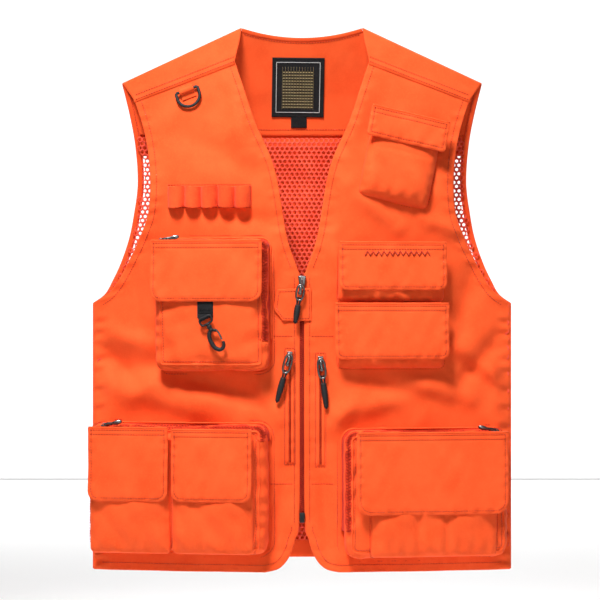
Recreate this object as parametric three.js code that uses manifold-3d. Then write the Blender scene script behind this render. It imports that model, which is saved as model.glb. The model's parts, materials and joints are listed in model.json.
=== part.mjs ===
// A hi-vis orange utility vest for field work: shell, mesh lining, zips, bellows pockets with
// flaps, cartridge loops, a D-ring and a snap hook. Millimetres, +Z up, the front faces -Y.
// Heights are measured from the hem; the whole vest is then lowered so that its origin is the
// middle of the back neckline, where it hangs. "Right" and "left" are the wearer's.
import * as THREE from 'three';
import { mergeVertices } from 'three/addons/utils/BufferGeometryUtils.js';
import Module from 'manifold-3d';

const wasm = await Module();
wasm.setup();

// ---- driving dimensions -------------------------------------------------------------------
const SEAM_X = 262.5; // half width at the side seams
const NECK_X = 76; // half width of the neck at the shoulder
const SHOULDER_X = 226; // shoulder tip
const NECK_Z = 681; // top of the shoulder at the neck
const TIP_Z = 611; // top of the shoulder at its tip
const NECKLINE_Z = 669; // lowest point of the back neckline
const PIT_Z = 335; // bottom of the armholes
const V_BOTTOM_Z = 368; // bottom of the V neck, top of the main zip
const HEM_RISE = 12; // how much higher the back hem is at the middle
const FRONT_BULGE = 46; // depth of the hanging vest, from its side seams to the chest
const BACK_BULGE = 40;
const SHOULDER_ROUND = 200; // height over which the depth grows below the shoulder line
const FRONT_SHELL = [0.3, 1.7]; // inner and outer side of the front cloth, out from its mid surface
const BACK_SHELL = [1.4, 2.8];
const BACK_LINING = [0.3, 0.9];
const INSIDE_TRIM = [-0.8, -0.1]; // labels sewn on the lining, on the wearer's side
const BINDING = [0.2, 3.1];
const GAP = 0.4; // clear space kept between neighbours
const SEWN_ON = 2.1; // where a piece sewn on the front shell starts
const CLOTH = 1.6; // doubled cloth, as in flaps and pocket walls
const ARM_BINDING = 7; // width of the armhole binding
const NECK_BINDING = 4;
const FACING_Z = 548; // bottom of the neck facing, top of the mesh
const BACK_YOKE_Z = 525;
const ZIP_HALF = 2.3; // half width of the main zip's closed chain
const ZIP_BOTTOM_Z = 62;
const SLIDER_TRAVEL_STOP = 92;

// Edge of each armhole, from the pit up to the shoulder tip, as [x, z].
const BACK_ARMHOLE = [
  [SEAM_X, PIT_Z], [248, 346], [238, 364], [228, 386], [218, 416], [212, 446],
  [207, 487], [210, 535], [217, 574], [SHOULDER_X, TIP_Z],
];
const FRONT_ARMHOLE = [
  [SEAM_X, PIT_Z], [243, 348], [230, 365], [215, 393], [204, 416], [193, 446],
  [190, 482], [193, 523], [200, 557], [211, 590],
];
// Front edge of the shell, from the parted hem corner up the zip and the V neck to the yoke.
const FRONT_EDGE = [
  [46, 0], [19, 14], [8, 42], [2.8, 62], [2.8, 160], [2.8, 260], [2.8, V_BOTTOM_Z],
  [19, 419], [34, 502], [58, 560], [72, 602], [84, 638],
];

// ---- shared shapes ------------------------------------------------------------------------
const lerp = THREE.MathUtils.lerp;
const clamp = THREE.MathUtils.clamp;

function shoulderLine(x) {
  const slope = (NECK_Z - TIP_Z) / (SHOULDER_X - NECK_X);
  return NECK_Z - Math.max(0, Math.abs(x) - NECK_X) * slope;
}

// Depth of the vest at (x, z) as a share of its greatest depth.
function fullness(x, z) {
  const across = Math.max(0, 1 - (x / SEAM_X) ** 2);
  const down = clamp((shoulderLine(x) - z) / SHOULDER_ROUND, 0, 1);
  return across * Math.sin((down * Math.PI) / 2);
}

const frontY = (x, z, out) => -FRONT_BULGE * fullness(x, z) - out;
const backY = (x, z, out) => BACK_BULGE * fullness(x, z) + out;

// Point at share t of a polyline, counted by its points.
function along(points, t) {
  const place = t * (points.length - 1);
  const i = Math.min(Math.floor(place), points.length - 2);
  const share = place - i;
  return [lerp(points[i][0], points[i + 1][0], share), lerp(points[i][1], points[i + 1][1], share)];
}

// A polyline as a function of height: the x of the edge at z.
function edgeX(points, z) {
  for (let i = 0; i < points.length - 1; i++) {
    const [x0, z0] = points[i];
    const [x1, z1] = points[i + 1];
    if (z <= z1 || i === points.length - 2) return lerp(x0, x1, clamp((z - z0) / (z1 - z0), 0, 1));
  }
  return points[0][0];
}

function closed(geometry) {
  geometry.deleteAttribute('normal');
  geometry.deleteAttribute('uv');
  const merged = mergeVertices(geometry, 1e-4);
  merged.computeVertexNormals();
  return merged;
}

// A closed slab: a divided box whose points go where place(u, depth, v) says, each from 0 to 1.
// depth 0 is the side towards the wearer's front (-Y).
function warpedBox(columns, rows, place) {
  const geometry = new THREE.BoxGeometry(1, 1, 1, columns, 1, rows);
  const points = geometry.attributes.position;
  for (let i = 0; i < points.count; i++) {
    points.setXYZ(i, ...place(points.getX(i) + 0.5, points.getY(i) + 0.5, points.getZ(i) + 0.5));
  }
  return closed(geometry);
}

// A slab of cloth on the front of the vest. place(u, v) gives its x and z.
function frontCloth(columns, rows, [inner, outer], place) {
  return warpedBox(columns, rows, (u, depth, v) => {
    const [x, z] = place(u, v);
    return [x, frontY(x, z, lerp(outer, inner, depth)), z];
  });
}

function backCloth(columns, rows, [inner, outer], place) {
  return warpedBox(columns, rows, (u, depth, v) => {
    const [x, z] = place(u, v);
    return [x, backY(x, z, lerp(inner, outer, depth)), z];
  });
}

// A flat shape drawn in x and z, its front face `thickness` out from the plane y = 0.
function plate(shape, thickness, curveSegments = 2) {
  const geometry = new THREE.ExtrudeGeometry(shape, { depth: thickness, bevelEnabled: false, curveSegments });
  geometry.rotateX(Math.PI / 2);
  return closed(geometry);
}

function polygon(points) {
  return new THREE.Shape(points.map(([x, z]) => new THREE.Vector2(x, z)));
}

// A rectangle with its own radius for the bottom and the top corners.
function roundedRectangle(x0, z0, x1, z1, bottom, top = bottom) {
  const shape = new THREE.Shape();
  shape.moveTo(x0 + bottom, z0);
  shape.lineTo(x1 - bottom, z0);
  if (bottom) shape.absarc(x1 - bottom, z0 + bottom, bottom, -Math.PI / 2, 0);
  shape.lineTo(x1, z1 - top);
  if (top) shape.absarc(x1 - top, z1 - top, top, 0, Math.PI / 2);
  shape.lineTo(x0 + top, z1);
  if (top) shape.absarc(x0 + top, z1 - top, top, Math.PI / 2, Math.PI);
  shape.lineTo(x0, z0 + bottom);
  if (bottom) shape.absarc(x0 + bottom, z0 + bottom, bottom, Math.PI, 1.5 * Math.PI);
  return shape;
}

function toSolid(geometry) {
  return new wasm.Manifold(
    new wasm.Mesh({
      numProp: 3,
      vertProperties: new Float32Array(geometry.attributes.position.array),
      triVerts: new Uint32Array(geometry.index.array),
    }),
  );
}

function fromSolid(solid) {
  const mesh = solid.getMesh();
  const geometry = new THREE.BufferGeometry();
  geometry.setAttribute('position', new THREE.BufferAttribute(mesh.vertProperties, 3));
  geometry.setIndex(new THREE.BufferAttribute(mesh.triVerts, 1));
  geometry.computeVertexNormals();
  return geometry;
}

function cut(geometry, ...tools) {
  return fromSolid(tools.reduce((solid, tool) => solid.subtract(toSolid(tool)), toSolid(geometry)));
}

function join(...geometries) {
  return fromSolid(geometries.map(toSolid).reduce((whole, part) => whole.add(part)));
}

function box(x0, x1, y0, y1, z0, z1) {
  const geometry = new THREE.BoxGeometry(x1 - x0, y1 - y0, z1 - z0);
  geometry.translate((x0 + x1) / 2, (y0 + y1) / 2, (z0 + z1) / 2);
  return closed(geometry);
}

// ---- materials ----------------------------------------------------------------------------
const finishes = {
  orange: { color: 0xf9703a, roughness: 0.8, metalness: 0 },
  mesh: { color: 0xf0522c, roughness: 0.85, metalness: 0 },
  black: { color: 0x18181a, roughness: 0.7, metalness: 0 },
  plastic: { color: 0x111113, roughness: 0.4, metalness: 0 },
  nickel: { color: 0xb9bcc0, roughness: 0.25, metalness: 1 },
};

const vest = new THREE.Group();
vest.position.z = -NECKLINE_Z;

function add(name, geometry, finish, parent = vest) {
  const mesh = new THREE.Mesh(geometry, new THREE.MeshStandardMaterial(finishes[finish]));
  mesh.name = name;
  parent.add(mesh);
  return mesh;
}

// A group that lies on the front of the vest at (x, z): its own -Y points out from the cloth,
// its Z runs up the cloth, and its origin is `out` off the cloth's mid surface.
function station(x, z, out, tilt = 0) {
  const step = 1;
  const slopeX = (frontY(x + step, z, 0) - frontY(x - step, z, 0)) / (2 * step);
  const slopeZ = (frontY(x, z + step, 0) - frontY(x, z - step, 0)) / (2 * step);
  const right = new THREE.Vector3(1, slopeX, 0).normalize();
  const inward = new THREE.Vector3(0, slopeZ, 1).cross(right).normalize();
  const up = new THREE.Vector3().crossVectors(right, inward);
  const group = new THREE.Group();
  group.quaternion.setFromRotationMatrix(new THREE.Matrix4().makeBasis(right, inward, up));
  group.rotateY(tilt);
  group.position.set(x, frontY(x, z, out), z);
  group.updateMatrix();
  vest.add(group);
  return group;
}

// ---- shell, lining and bindings -----------------------------------------------------------
const hemLine = (x) => HEM_RISE * (1 - (x / SEAM_X) ** 2);
const neckline = (x) => (Math.abs(x) < NECK_X ? NECKLINE_Z + (NECK_Z - NECKLINE_Z) * (x / NECK_X) ** 2 : shoulderLine(x));

function addBack() {
  // The outer back is cut in below the yoke, so that only mesh is left beside each armhole.
  const ventTop = [
    [SEAM_X, 0], [SEAM_X, PIT_Z - 6], [236, 352], [222, 378], [208, 408], [186, 436], [182, 480], [192, 512],
    [200, BACK_YOKE_Z - GAP],
  ];
  add('back_shell', backCloth(14, 18, BACK_SHELL, (u, v) => {
    const [half, z] = along(ventTop, v);
    const x = lerp(-half, half, u);
    return [x, v === 0 ? hemLine(x) : z];
  }), 'orange');

  const yokeHalf = (z) => edgeX(BACK_ARMHOLE, z) - ARM_BINDING - GAP;
  const yokeTop = (x) => neckline(x) - (Math.abs(x) < NECK_X ? NECK_BINDING + GAP : 0);
  const yoke = (bottom) => (u, v) => {
    const topX = lerp(-1, 1, u) * (SHOULDER_X - ARM_BINDING - GAP);
    const half = yokeHalf(lerp(bottom, TIP_Z, v));
    return [lerp(-1, 1, u) * half, lerp(bottom, yokeTop(topX), v)];
  };
  add('back_yoke', backCloth(18, 6, BACK_SHELL, yoke(BACK_YOKE_Z)), 'orange');
  add('neck_facing', backCloth(18, 5, BACK_LINING, yoke(FACING_Z + GAP)), 'orange');

  const facingTop = 24;
  const liningEdge = BACK_ARMHOLE.slice(1, -2).map(([x, z]) => [x - ARM_BINDING - GAP, z]);
  const lining = [[SEAM_X - 4, facingTop + GAP], [SEAM_X - 4, PIT_Z - 8], ...liningEdge, [203, FACING_Z]];
  add('back_mesh_lining', backCloth(14, 18, BACK_LINING, (u, v) => {
    const [half, z] = along(lining, v);
    const x = lerp(-half, half, u);
    return [x, v === 0 ? z + hemLine(x) : z];
  }), 'mesh');
  add('back_hem_facing', backCloth(14, 1, BACK_LINING, (u, v) => {
    const x = lerp(-1, 1, u) * (SEAM_X - 4);
    return [x, hemLine(x) + v * facingTop];
  }), 'orange');

  add('neck_binding', backCloth(12, 1, BINDING, (u, v) => {
    const x = lerp(-1, 1, u) * (NECK_X - GAP);
    return [x, neckline(x) - NECK_BINDING * (1 - v)];
  }), 'orange');
  for (const [side, sign] of [['right', -1], ['left', 1]]) {
    add(`${side}_armhole_binding`, backCloth(1, 18, BINDING, (u, v) => {
      const [x, z] = along(BACK_ARMHOLE, lerp(0.2, 1, v));
      return [sign * (x - ARM_BINDING * (sign > 0 ? 1 - u : u)), z];
    }), 'orange');
  }
}

function addFronts() {
  // Each row of a front runs from the front edge to the side seam or the armhole.
  const outerEdge = [
    [SEAM_X, 0], [SEAM_X, 15], [SEAM_X, 45], [SEAM_X, 75], [SEAM_X, 160], [SEAM_X, 250],
    FRONT_ARMHOLE[0], FRONT_ARMHOLE[2], FRONT_ARMHOLE[5], FRONT_ARMHOLE[7], FRONT_ARMHOLE[8], FRONT_ARMHOLE[9],
  ];
  const yokeInner = [[84, 638.6], [81, 652], [NECK_X, NECK_Z]];
  const yokeOuter = [[211.3, 590.6], [218, 600], [SHOULDER_X, TIP_Z]];
  const panel = (inner, outer, sign) => (u, v) => {
    const [x0, z0] = along(inner, v);
    const [x1, z1] = along(outer, v);
    const share = sign > 0 ? u : 1 - u;
    return [sign * lerp(x0, x1, share), lerp(z0, z1, share)];
  };
  for (const [side, sign] of [['right', -1], ['left', 1]]) {
    add(`${side}_front`, frontCloth(8, 22, FRONT_SHELL, panel(FRONT_EDGE, outerEdge, sign)), 'orange');
    add(`${side}_yoke`, frontCloth(5, 3, FRONT_SHELL, panel(yokeInner, yokeOuter, sign)), 'orange');
  }
}

function addLabels() {
  const labelTilt = 0.017;
  const label = { x0: -38, x1: 28, z0: 571, z1: 645 };
  const middle = (label.z0 + label.z1) / 2;
  add('neck_label', backCloth(3, 4, INSIDE_TRIM, (u, v) => {
    const x = lerp(label.x0, label.x1, u);
    const z = lerp(label.z0, label.z1, v);
    return [x + (z - middle) * labelTilt, z];
  }), 'black');
  const tag = add('size_tag', backCloth(1, 1, INSIDE_TRIM, (u, v) => [lerp(-14, 6, u), lerp(557.5, 570.5, v)]), 'black');
  tag.userData.hinge = { at: [-4, backY(-4, 570.5, -0.8), 570.5], axis: [-1, 0, 0], range: [0, 80] };
}

// ---- main zip and closure tab -------------------------------------------------------------
function addMainZip() {
  const pitch = 8;
  const teeth = Math.floor((V_BOTTOM_Z - 4 - ZIP_BOTTOM_Z - 14) / pitch);
  for (const [side, sign] of [['right', -1], ['left', 1]]) {
    const inner = sign * 0.3;
    add(`${side}_zip_tape`, frontCloth(1, 6, [-0.9, -0.2], (u, v) => [
      sign * lerp(0.3, 14, sign > 0 ? u : 1 - u),
      lerp(ZIP_BOTTOM_Z, V_BOTTOM_Z, v),
    ]), 'orange');
    const outline = [];
    for (let i = 0; i < teeth; i++) {
      const z = ZIP_BOTTOM_Z + 14 + i * pitch;
      outline.push([inner, z], [inner, z + pitch / 2], [inner + sign * 0.9, z + pitch / 2], [inner + sign * 0.9, z + pitch]);
    }
    outline.push([sign * ZIP_HALF, ZIP_BOTTOM_Z + 14 + teeth * pitch], [sign * ZIP_HALF, ZIP_BOTTOM_Z + 14]);
    const comb = plate(polygon(outline), 1.9);
    comb.translate(0, frontY(0, 200, 0.15), 0);
    add(`${side}_zip_teeth`, comb, 'orange');
  }
  const zipBox = plate(roundedRectangle(-3.2, ZIP_BOTTOM_Z, 3.6, ZIP_BOTTOM_Z + 12.5, 0.8), 4);
  zipBox.translate(0, frontY(0, 70, 2.1), 0);
  add('zip_box', zipBox, 'plastic');

  const slider = station(0, 362, 2.5);
  const sliderBody = join(
    plate(polygon([[-5, 7], [-3, -7], [3, -7], [5, 7]]), 3.4),
    box(-1.6, 1.6, -7.8, -3.2, -5, 5),
  );
  const sliderMesh = add('main_slider', sliderBody, 'nickel', slider);
  sliderMesh.userData.slide = { axis: [0, 0, 1], range: [SLIDER_TRAVEL_STOP - 362, 0] };

  // Pull: a metal ring on the slider, then a cord with a moulded end, hanging over the tab.
  const pull = station(-1, 357, 10.7, 0.16);
  const ring = roundedRectangle(-5.5, -18, 5.5, 1, 5);
  ring.holes.push(roundedRectangle(-3.6, -16, 3.6, -1, 3.4));
  const pullBody = join(
    plate(ring, 2.2),
    plate(roundedRectangle(-2, -30, 2, -15, 1), 2.2),
    plate(roundedRectangle(-4.5, -48, 4.5, -25, 3), 3),
  );
  const pullMesh = add('main_puller', pullBody, 'plastic', pull);
  pullMesh.userData.hinge = { at: [0, -1.1, 0], axis: [-1, 0, 0], range: [0, 120] };

  const tabBase = station(0, V_BOTTOM_Z - 35, 2.7);
  const tab = plate(polygon([[-35, -5], [-24, -20], [10, -20], [10, 21], [-31, 19]]), CLOTH);
  const tabMesh = add('closure_tab', tab, 'orange', tabBase);
  tabMesh.userData.hinge = { at: [10, -CLOTH, 0], axis: [0, 0, 1], range: [0, 150] };
}

// ---- vertical welt pockets beside the zip -------------------------------------------------
function addWeltPockets() {
  const welts = [
    { side: 'right', x: -15, z0: 136, z1: 277, tilt: 0.27, reach: -1 },
    { side: 'left', x: 23, z0: 133, z1: 271, tilt: -0.12, reach: 1 },
  ];
  for (const { side, x, z0, z1, tilt, reach } of welts) {
    const half = (z1 - z0) / 2;
    const place = station(x, z0 + half, SEWN_ON);
    add(`${side}_welt_zip`, plate(roundedRectangle(-4.5, -half, 4.5, half, 1), 1.2), 'orange', place);
    const slider = join(
      plate(polygon([[-3.5, half - 2], [-2.5, half - 13], [2.5, half - 13], [3.5, half - 2]]), 2.4),
      box(-1.2, 1.2, -3.6, -2, half - 12, half - 4),
    );
    slider.translate(0, -1.6, 0);
    const sliderMesh = add(`${side}_welt_slider`, slider, 'nickel', place);
    sliderMesh.userData.slide = { axis: [0, 0, 1], range: [20 - 2 * half, 0] };
    const hang = station(x, z1 - 6, SEWN_ON + 5.6, tilt);
    const ring = roundedRectangle(-5, -24, 5, 1, 4.5);
    ring.holes.push(roundedRectangle(-3.4, -22.4, 3.4, -0.8, 3));
    const pullBody = join(plate(ring, 1.8), plate(roundedRectangle(-3.6, -62, 3.6, -21, 2.5), 2.4));
    const pull = add(`${side}_welt_puller`, pullBody, 'plastic', hang);
    pull.userData.hinge = { at: [0, -0.9, 0], axis: [-1, 0, 0], range: [0, 120] };
    add(`${side}_pocket_bag`, frontCloth(4, 2, [-3.6, -1.6], (u, v) => [
      lerp(Math.min(x, x + reach * 95), Math.max(x, x + reach * 95), u),
      lerp(z0 - 18, z1 + 8, v),
    ]), 'mesh');
  }
}

// ---- pockets ------------------------------------------------------------------------------
// Rows of a rounded outline, bottom to top: [height, how far the sides are drawn in].
function outlineRows(height, bottomRadius, topRadius, between) {
  const arc = [[0, 1], [0.13, 0.5], [0.5, 0.13], [1, 0]];
  const rows = arc.map(([h, inset]) => [h * bottomRadius, inset * bottomRadius]);
  for (let i = 1; i <= between; i++) {
    rows.push([lerp(bottomRadius, height - topRadius, i / (between + 1)), 0]);
  }
  return rows.concat(arc.reverse().map(([h, inset]) => [height - h * topRadius, inset * topRadius]));
}

// A pocket on the front: its back follows the cloth and its face is crowned. With `mouth` it is
// hollow and open at the top, otherwise it is closed. `back` is where it starts, in the place's
// own depth, or null where it lies on the shell.
function pocketBody(place, { x0, x1, z0, z1, depth, rim, radius = 8, mouth = false, back = null, top = radius }) {
  const rows = outlineRows(z1 - z0, radius, top, 2);
  const shape = (inset, lift) => warpedBox(6, rows.length - 1, (u, layer, v) => {
    const [height, drawnIn] = rows[Math.round(v * (rows.length - 1))];
    const x = lerp(x0 + drawnIn + inset, x1 - drawnIn - inset, u);
    const z = lift ? lerp(z0 + inset, z1 + lift, height / (z1 - z0)) : z0 + height;
    const crown = Math.sqrt(Math.sin(Math.PI * u) * Math.sin(Math.PI * clamp(height / (z1 - z0), 0.04, 0.96)));
    const face = new THREE.Vector3(x, -lerp(rim, depth, crown) + inset, z);
    if (layer < 0.5) return face.applyMatrix4(place.matrix).toArray();
    if (back !== null) return new THREE.Vector3(x, -back - inset, z).applyMatrix4(place.matrix).toArray();
    const behind = new THREE.Vector3(x, 0, z).applyMatrix4(place.matrix);
    return [behind.x, frontY(behind.x, behind.z, SEWN_ON + inset), behind.z];
  });
  const body = shape(0, 0);
  return mouth ? cut(body, shape(CLOTH, 6)) : body;
}

// A flap hanging from its top edge at height z1, its inner side `out` off the place.
function addFlap(name, place, { x0, x1, z0, z1, out, radius = 14, lift = 160 }) {
  const geometry = plate(roundedRectangle(x0, z0, x1, z1, radius, 0), CLOTH, 3);
  geometry.translate(0, -out, 0);
  const flap = add(name, geometry, 'orange', place);
  flap.userData.hinge = { at: [(x0 + x1) / 2, -out - CLOTH, z1], axis: [-1, 0, 0], range: [0, lift] };
}

// A zip band along the top of a pocket, round one corner and down that side, seen as a line
// just outside the pocket's outline. side is 1 for the corner at x1 and -1 for the one at x0.
function zipBand({ x0, x1, z1, end, radius, side, start = 6, width = 2.4, from = 8, to = 15 }) {
  const corner = side > 0 ? x1 : -x0;
  const far = side > 0 ? x0 : -x1;
  const reach = radius + GAP;
  const shape = new THREE.Shape();
  shape.moveTo(far + start, z1 + GAP);
  shape.lineTo(corner - radius, z1 + GAP);
  shape.absarc(corner - radius, z1 - radius, reach, Math.PI / 2, 0, true);
  shape.lineTo(corner + GAP, end);
  shape.lineTo(corner + GAP + width, end);
  shape.lineTo(corner + GAP + width, z1 - radius);
  shape.absarc(corner - radius, z1 - radius, reach + width, 0, Math.PI / 2);
  shape.lineTo(far + start, z1 + GAP + width);
  const geometry = plate(shape, to - from, 4);
  if (side < 0) geometry.applyMatrix4(new THREE.Matrix4().makeRotationZ(Math.PI)).translate(0, -(to - from), 0);
  return geometry.translate(0, -from, 0);
}

// A slider with its tab lying along the zip, on top of the band.
function zipSlider(x, z, tabReach, from = 8) {
  return join(
    box(x - 5, x + 5, -from - 6.5, -from - 0.5, z, z + 4.4),
    box(Math.min(x, x + tabReach), Math.max(x, x + tabReach), -from - 9.5, -from - 6, z - 0.6, z + 3.4),
  );
}

function addCameraPocket() {
  const size = { x0: -72, x1: 72, z0: -83, z1: 83, depth: 28, rim: 20, radius: 12 };
  const place = station(-109.5, 333, SEWN_ON);
  add('camera_pocket', pocketBody(place, size), 'orange');
  add('camera_pocket_zip', zipBand({ ...size, end: -45, side: 1 }), 'orange', place);
  const slider = add('camera_pocket_slider', zipSlider(-62, size.z1 + 3.8, 22), 'nickel', place);
  slider.userData.slide = { axis: [1, 0, 0], range: [0, 105] };
  addFlap('camera_pocket_flap', place, { x0: -75, x1: 65, z0: 4, z1: 79, out: 30.6 });

  // Webbing under the flap, its end folded into a tilted loop that holds the hook's eye.
  const hang = new THREE.Group();
  hang.position.set(-6, -37, -16);
  hang.rotation.y = -0.52;
  hang.updateMatrix();
  place.add(hang);
  const fold = cut(box(-6, 6, -4.5, 8.5, -3.8, 5), box(-7, 7, -2.4, 2.4, -2.2, 2.2));
  fold.applyMatrix4(hang.matrix);
  const strap = plate(roundedRectangle(-16, -14, 4, 30, 1), CLOTH).translate(0, -28.5, 0);
  add('hook_strap', join(strap, fold), 'black', place);

  // Snap hook: an eye through the loop, a swivelling hook and its sprung gate.
  const eye = roundedRectangle(-8.6, -9, 8.6, 1.2, 1.5);
  eye.holes.push(roundedRectangle(-6.8, -6.6, 6.8, -1.2, 1));
  const eyeMesh = add('hook_eye', plate(eye, 2.6).translate(0, 1.3, 0), 'plastic', hang);
  eyeMesh.userData.hinge = { at: [0, 0, 0], axis: [-1, 0, 0], range: [0, 110] };
  const hookShape = new THREE.Shape();
  hookShape.moveTo(-3, -9.4);
  hookShape.lineTo(-4, -19);
  hookShape.lineTo(-8, -24);
  hookShape.lineTo(-8.5, -36);
  hookShape.absarc(-0.5, -38, 8, Math.PI, 2 * Math.PI);
  hookShape.lineTo(4.4, -34);
  hookShape.absarc(-0.5, -37, 4.6, 0.3, -Math.PI, true);
  hookShape.lineTo(-5, -27);
  hookShape.lineTo(0, -22.5);
  hookShape.lineTo(3.4, -22.5);
  hookShape.lineTo(3.4, -18);
  hookShape.lineTo(3, -9.4);
  const hookMesh = add('snap_hook', plate(hookShape, 3.4, 4).translate(0, 1.7, 0), 'plastic', hang);
  hookMesh.userData.hinge = { at: [0, 0, -9.2], axis: [0, 0, 1], continuous: true };
  hookMesh.userData.face = [0, -1.7, -16];
  const gate = add('hook_gate', plate(roundedRectangle(5.1, -33.6, 7.3, -19.5, 1), 2.6).translate(0, 1.3, 0), 'nickel', hang);
  gate.userData.hinge = { at: [6.2, 0, -20.6], axis: [0, 1, 0], range: [0, 22] };
}

function addRightLowerPocket() {
  const size = { x0: -114, x1: 114, z0: -82, z1: 82, depth: 26, rim: 18, radius: 14 };
  const place = station(-151.5, 104, SEWN_ON);
  add('right_lower_pocket', pocketBody(place, size), 'orange');
  add('right_lower_zip', zipBand({ ...size, end: 60, side: 1 }), 'orange', place);
  const slider = add('right_lower_slider', zipSlider(-92, size.z1 + 3.8, 22), 'nickel', place);
  slider.userData.slide = { axis: [1, 0, 0], range: [0, 170] };
  const patch = { z0: -80, z1: 62, depth: 38, rim: 34, radius: 7, mouth: true, back: 26.5, top: 1 };
  add('right_outer_patch_pocket', pocketBody(place, { ...patch, x0: -109, x1: -6 }), 'orange');
  add('right_inner_patch_pocket', pocketBody(place, { ...patch, x0: -4, x1: 99 }), 'orange');
  addFlap('right_outer_patch_flap', place, { x0: -109, x1: -7, z0: -15, z1: 76, out: 38.6 });
  addFlap('right_inner_patch_flap', place, { x0: -3, x1: 99, z0: -15, z1: 74, out: 38.6 });
}

function addChestPocket() {
  const place = station(122, 514, SEWN_ON, 0.22);
  add('chest_pocket', pocketBody(place, {
    x0: -44, x1: 45, z0: -54, z1: 46, depth: 17, rim: 9, radius: 7, mouth: true, top: 1,
  }), 'orange');
  addFlap('chest_flap', place, { x0: -51, x1: 51, z0: 18, z1: 56, out: 17.6, radius: 5, lift: 150 });
}

function addLeftMidPockets() {
  const place = station(110, 332, SEWN_ON);
  const size = { x0: -66, x1: 68, depth: 14, rim: 8, radius: 6, mouth: true, top: 1 };
  add('left_mid_upper_pocket', pocketBody(place, { ...size, z0: 4, z1: 66 }), 'orange');
  addFlap('left_mid_upper_flap', place, { x0: -67, x1: 69, z0: 19, z1: 78, out: 14.6, radius: 10 });
  add('left_mid_lower_pocket', pocketBody(place, { ...size, z0: -78, z1: -10 }), 'orange');
  addFlap('left_mid_lower_flap', place, { x0: -72, x1: 72, z0: -67, z1: 2, out: 14.6, radius: 10, lift: 120 });
}

function addLeftLowerPocket() {
  const size = { x0: -105, x1: 106, z0: -81, z1: 81, depth: 22, rim: 15, radius: 16 };
  const place = station(152, 98, SEWN_ON);
  add('left_lower_pocket', pocketBody(place, size), 'orange');
  add('left_lower_zip', zipBand({ ...size, end: -46, side: -1 }), 'orange', place);
  const slider = add('left_lower_slider', zipSlider(88, size.z1 + 3.8, -22), 'nickel', place);
  slider.userData.slide = { axis: [1, 0, 0], range: [-165, 0] };
  add('left_patch_pocket', pocketBody(place, {
    x0: -73, x1: 88, z0: -78, z1: 56, depth: 34, rim: 31, radius: 7, mouth: true, back: 22.5, top: 1,
  }), 'orange');
  addFlap('left_patch_flap', place, { x0: -93, x1: 100, z0: -25, z1: 76, out: 34.6, radius: 16 });
}

// ---- cartridge loops and D-ring -----------------------------------------------------------
function addLoops() {
  const loops = 5;
  const pitch = 21;
  const height = 11;
  const steps = 10;
  const place = station(-115.5, 468.5, SEWN_ON);
  const wave = (share) => height * Math.sqrt(Math.max(0, Math.sin(Math.PI * share)));
  const outer = [];
  const inner = [];
  for (let i = 0; i < loops; i++) {
    for (let j = 0; j <= steps; j++) {
      const x = (i - loops / 2 + j / steps) * pitch;
      const rise = wave(j / steps);
      if (j || !i) outer.push([x, rise + CLOTH]);
      if (j > 1 && j < steps - 1) inner.push([x, rise * 0.98]);
      else if (j || !i) inner.push([x, 0]);
    }
  }
  // Drawn in x and depth, then stood up so that the band is as tall as the elastic is wide.
  const shape = polygon([...outer, ...inner.reverse()]);
  const geometry = new THREE.ExtrudeGeometry(shape, { depth: 25, bevelEnabled: false });
  geometry.rotateX(Math.PI);
  geometry.translate(0, 0, 12.5);
  add('cartridge_loops', closed(geometry), 'orange', place);
}

function addDRing() {
  const seamTilt = -0.36;
  const place = station(-144, 601, SEWN_ON, seamTilt);
  const loop = cut(
    box(-10.5, 10.5, -8, 0, -9, 9),
    box(-12, 12, -6.8, -1.2, -6.5, 6.5),
  );
  add('d_ring_loop', loop, 'orange', place);
  const ring = new THREE.Shape();
  ring.moveTo(-16.5, 3);
  ring.lineTo(-16.5, -6);
  ring.absarc(0, -6, 16.5, Math.PI, 2 * Math.PI);
  ring.lineTo(16.5, 3);
  const hole = new THREE.Path();
  hole.moveTo(-12.5, -1);
  hole.lineTo(-12.5, -6);
  hole.absarc(0, -6, 12.5, Math.PI, 2 * Math.PI);
  hole.lineTo(12.5, -1);
  ring.holes.push(hole);
  const hang = new THREE.Group();
  hang.position.set(0, -2.3, -2);
  place.add(hang);
  const dRing = add('d_ring', plate(ring, 3.2, 6), 'plastic', hang);
  dRing.userData.hinge = { at: [0, -1.6, 1], axis: [-1, 0, 0], range: [0, 140] };
  dRing.userData.face = [0, -3.2, -20.5];
}

addBack();
addFronts();
addLabels();
addMainZip();
addWeltPockets();
addLoops();
addDRing();
addCameraPocket();
addRightLowerPocket();
addChestPocket();
addLeftMidPockets();
addLeftLowerPocket();

export default vest;
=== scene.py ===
"""Blaze orange field vest: cloth shell, mesh lining, pockets, zips and hardware round the CAD frame.

Shapes are worked out in millimetres above the hem and written to Blender in metres. Most cloth is
a grid over the vest's own curved front or back, which is the CAD model's surface plus soft folds.
"""
import json
import math
import random

import bmesh
import bpy
import numpy as np
from mathutils import Matrix, Vector, noise
from mathutils.bvhtree import BVHTree


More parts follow.
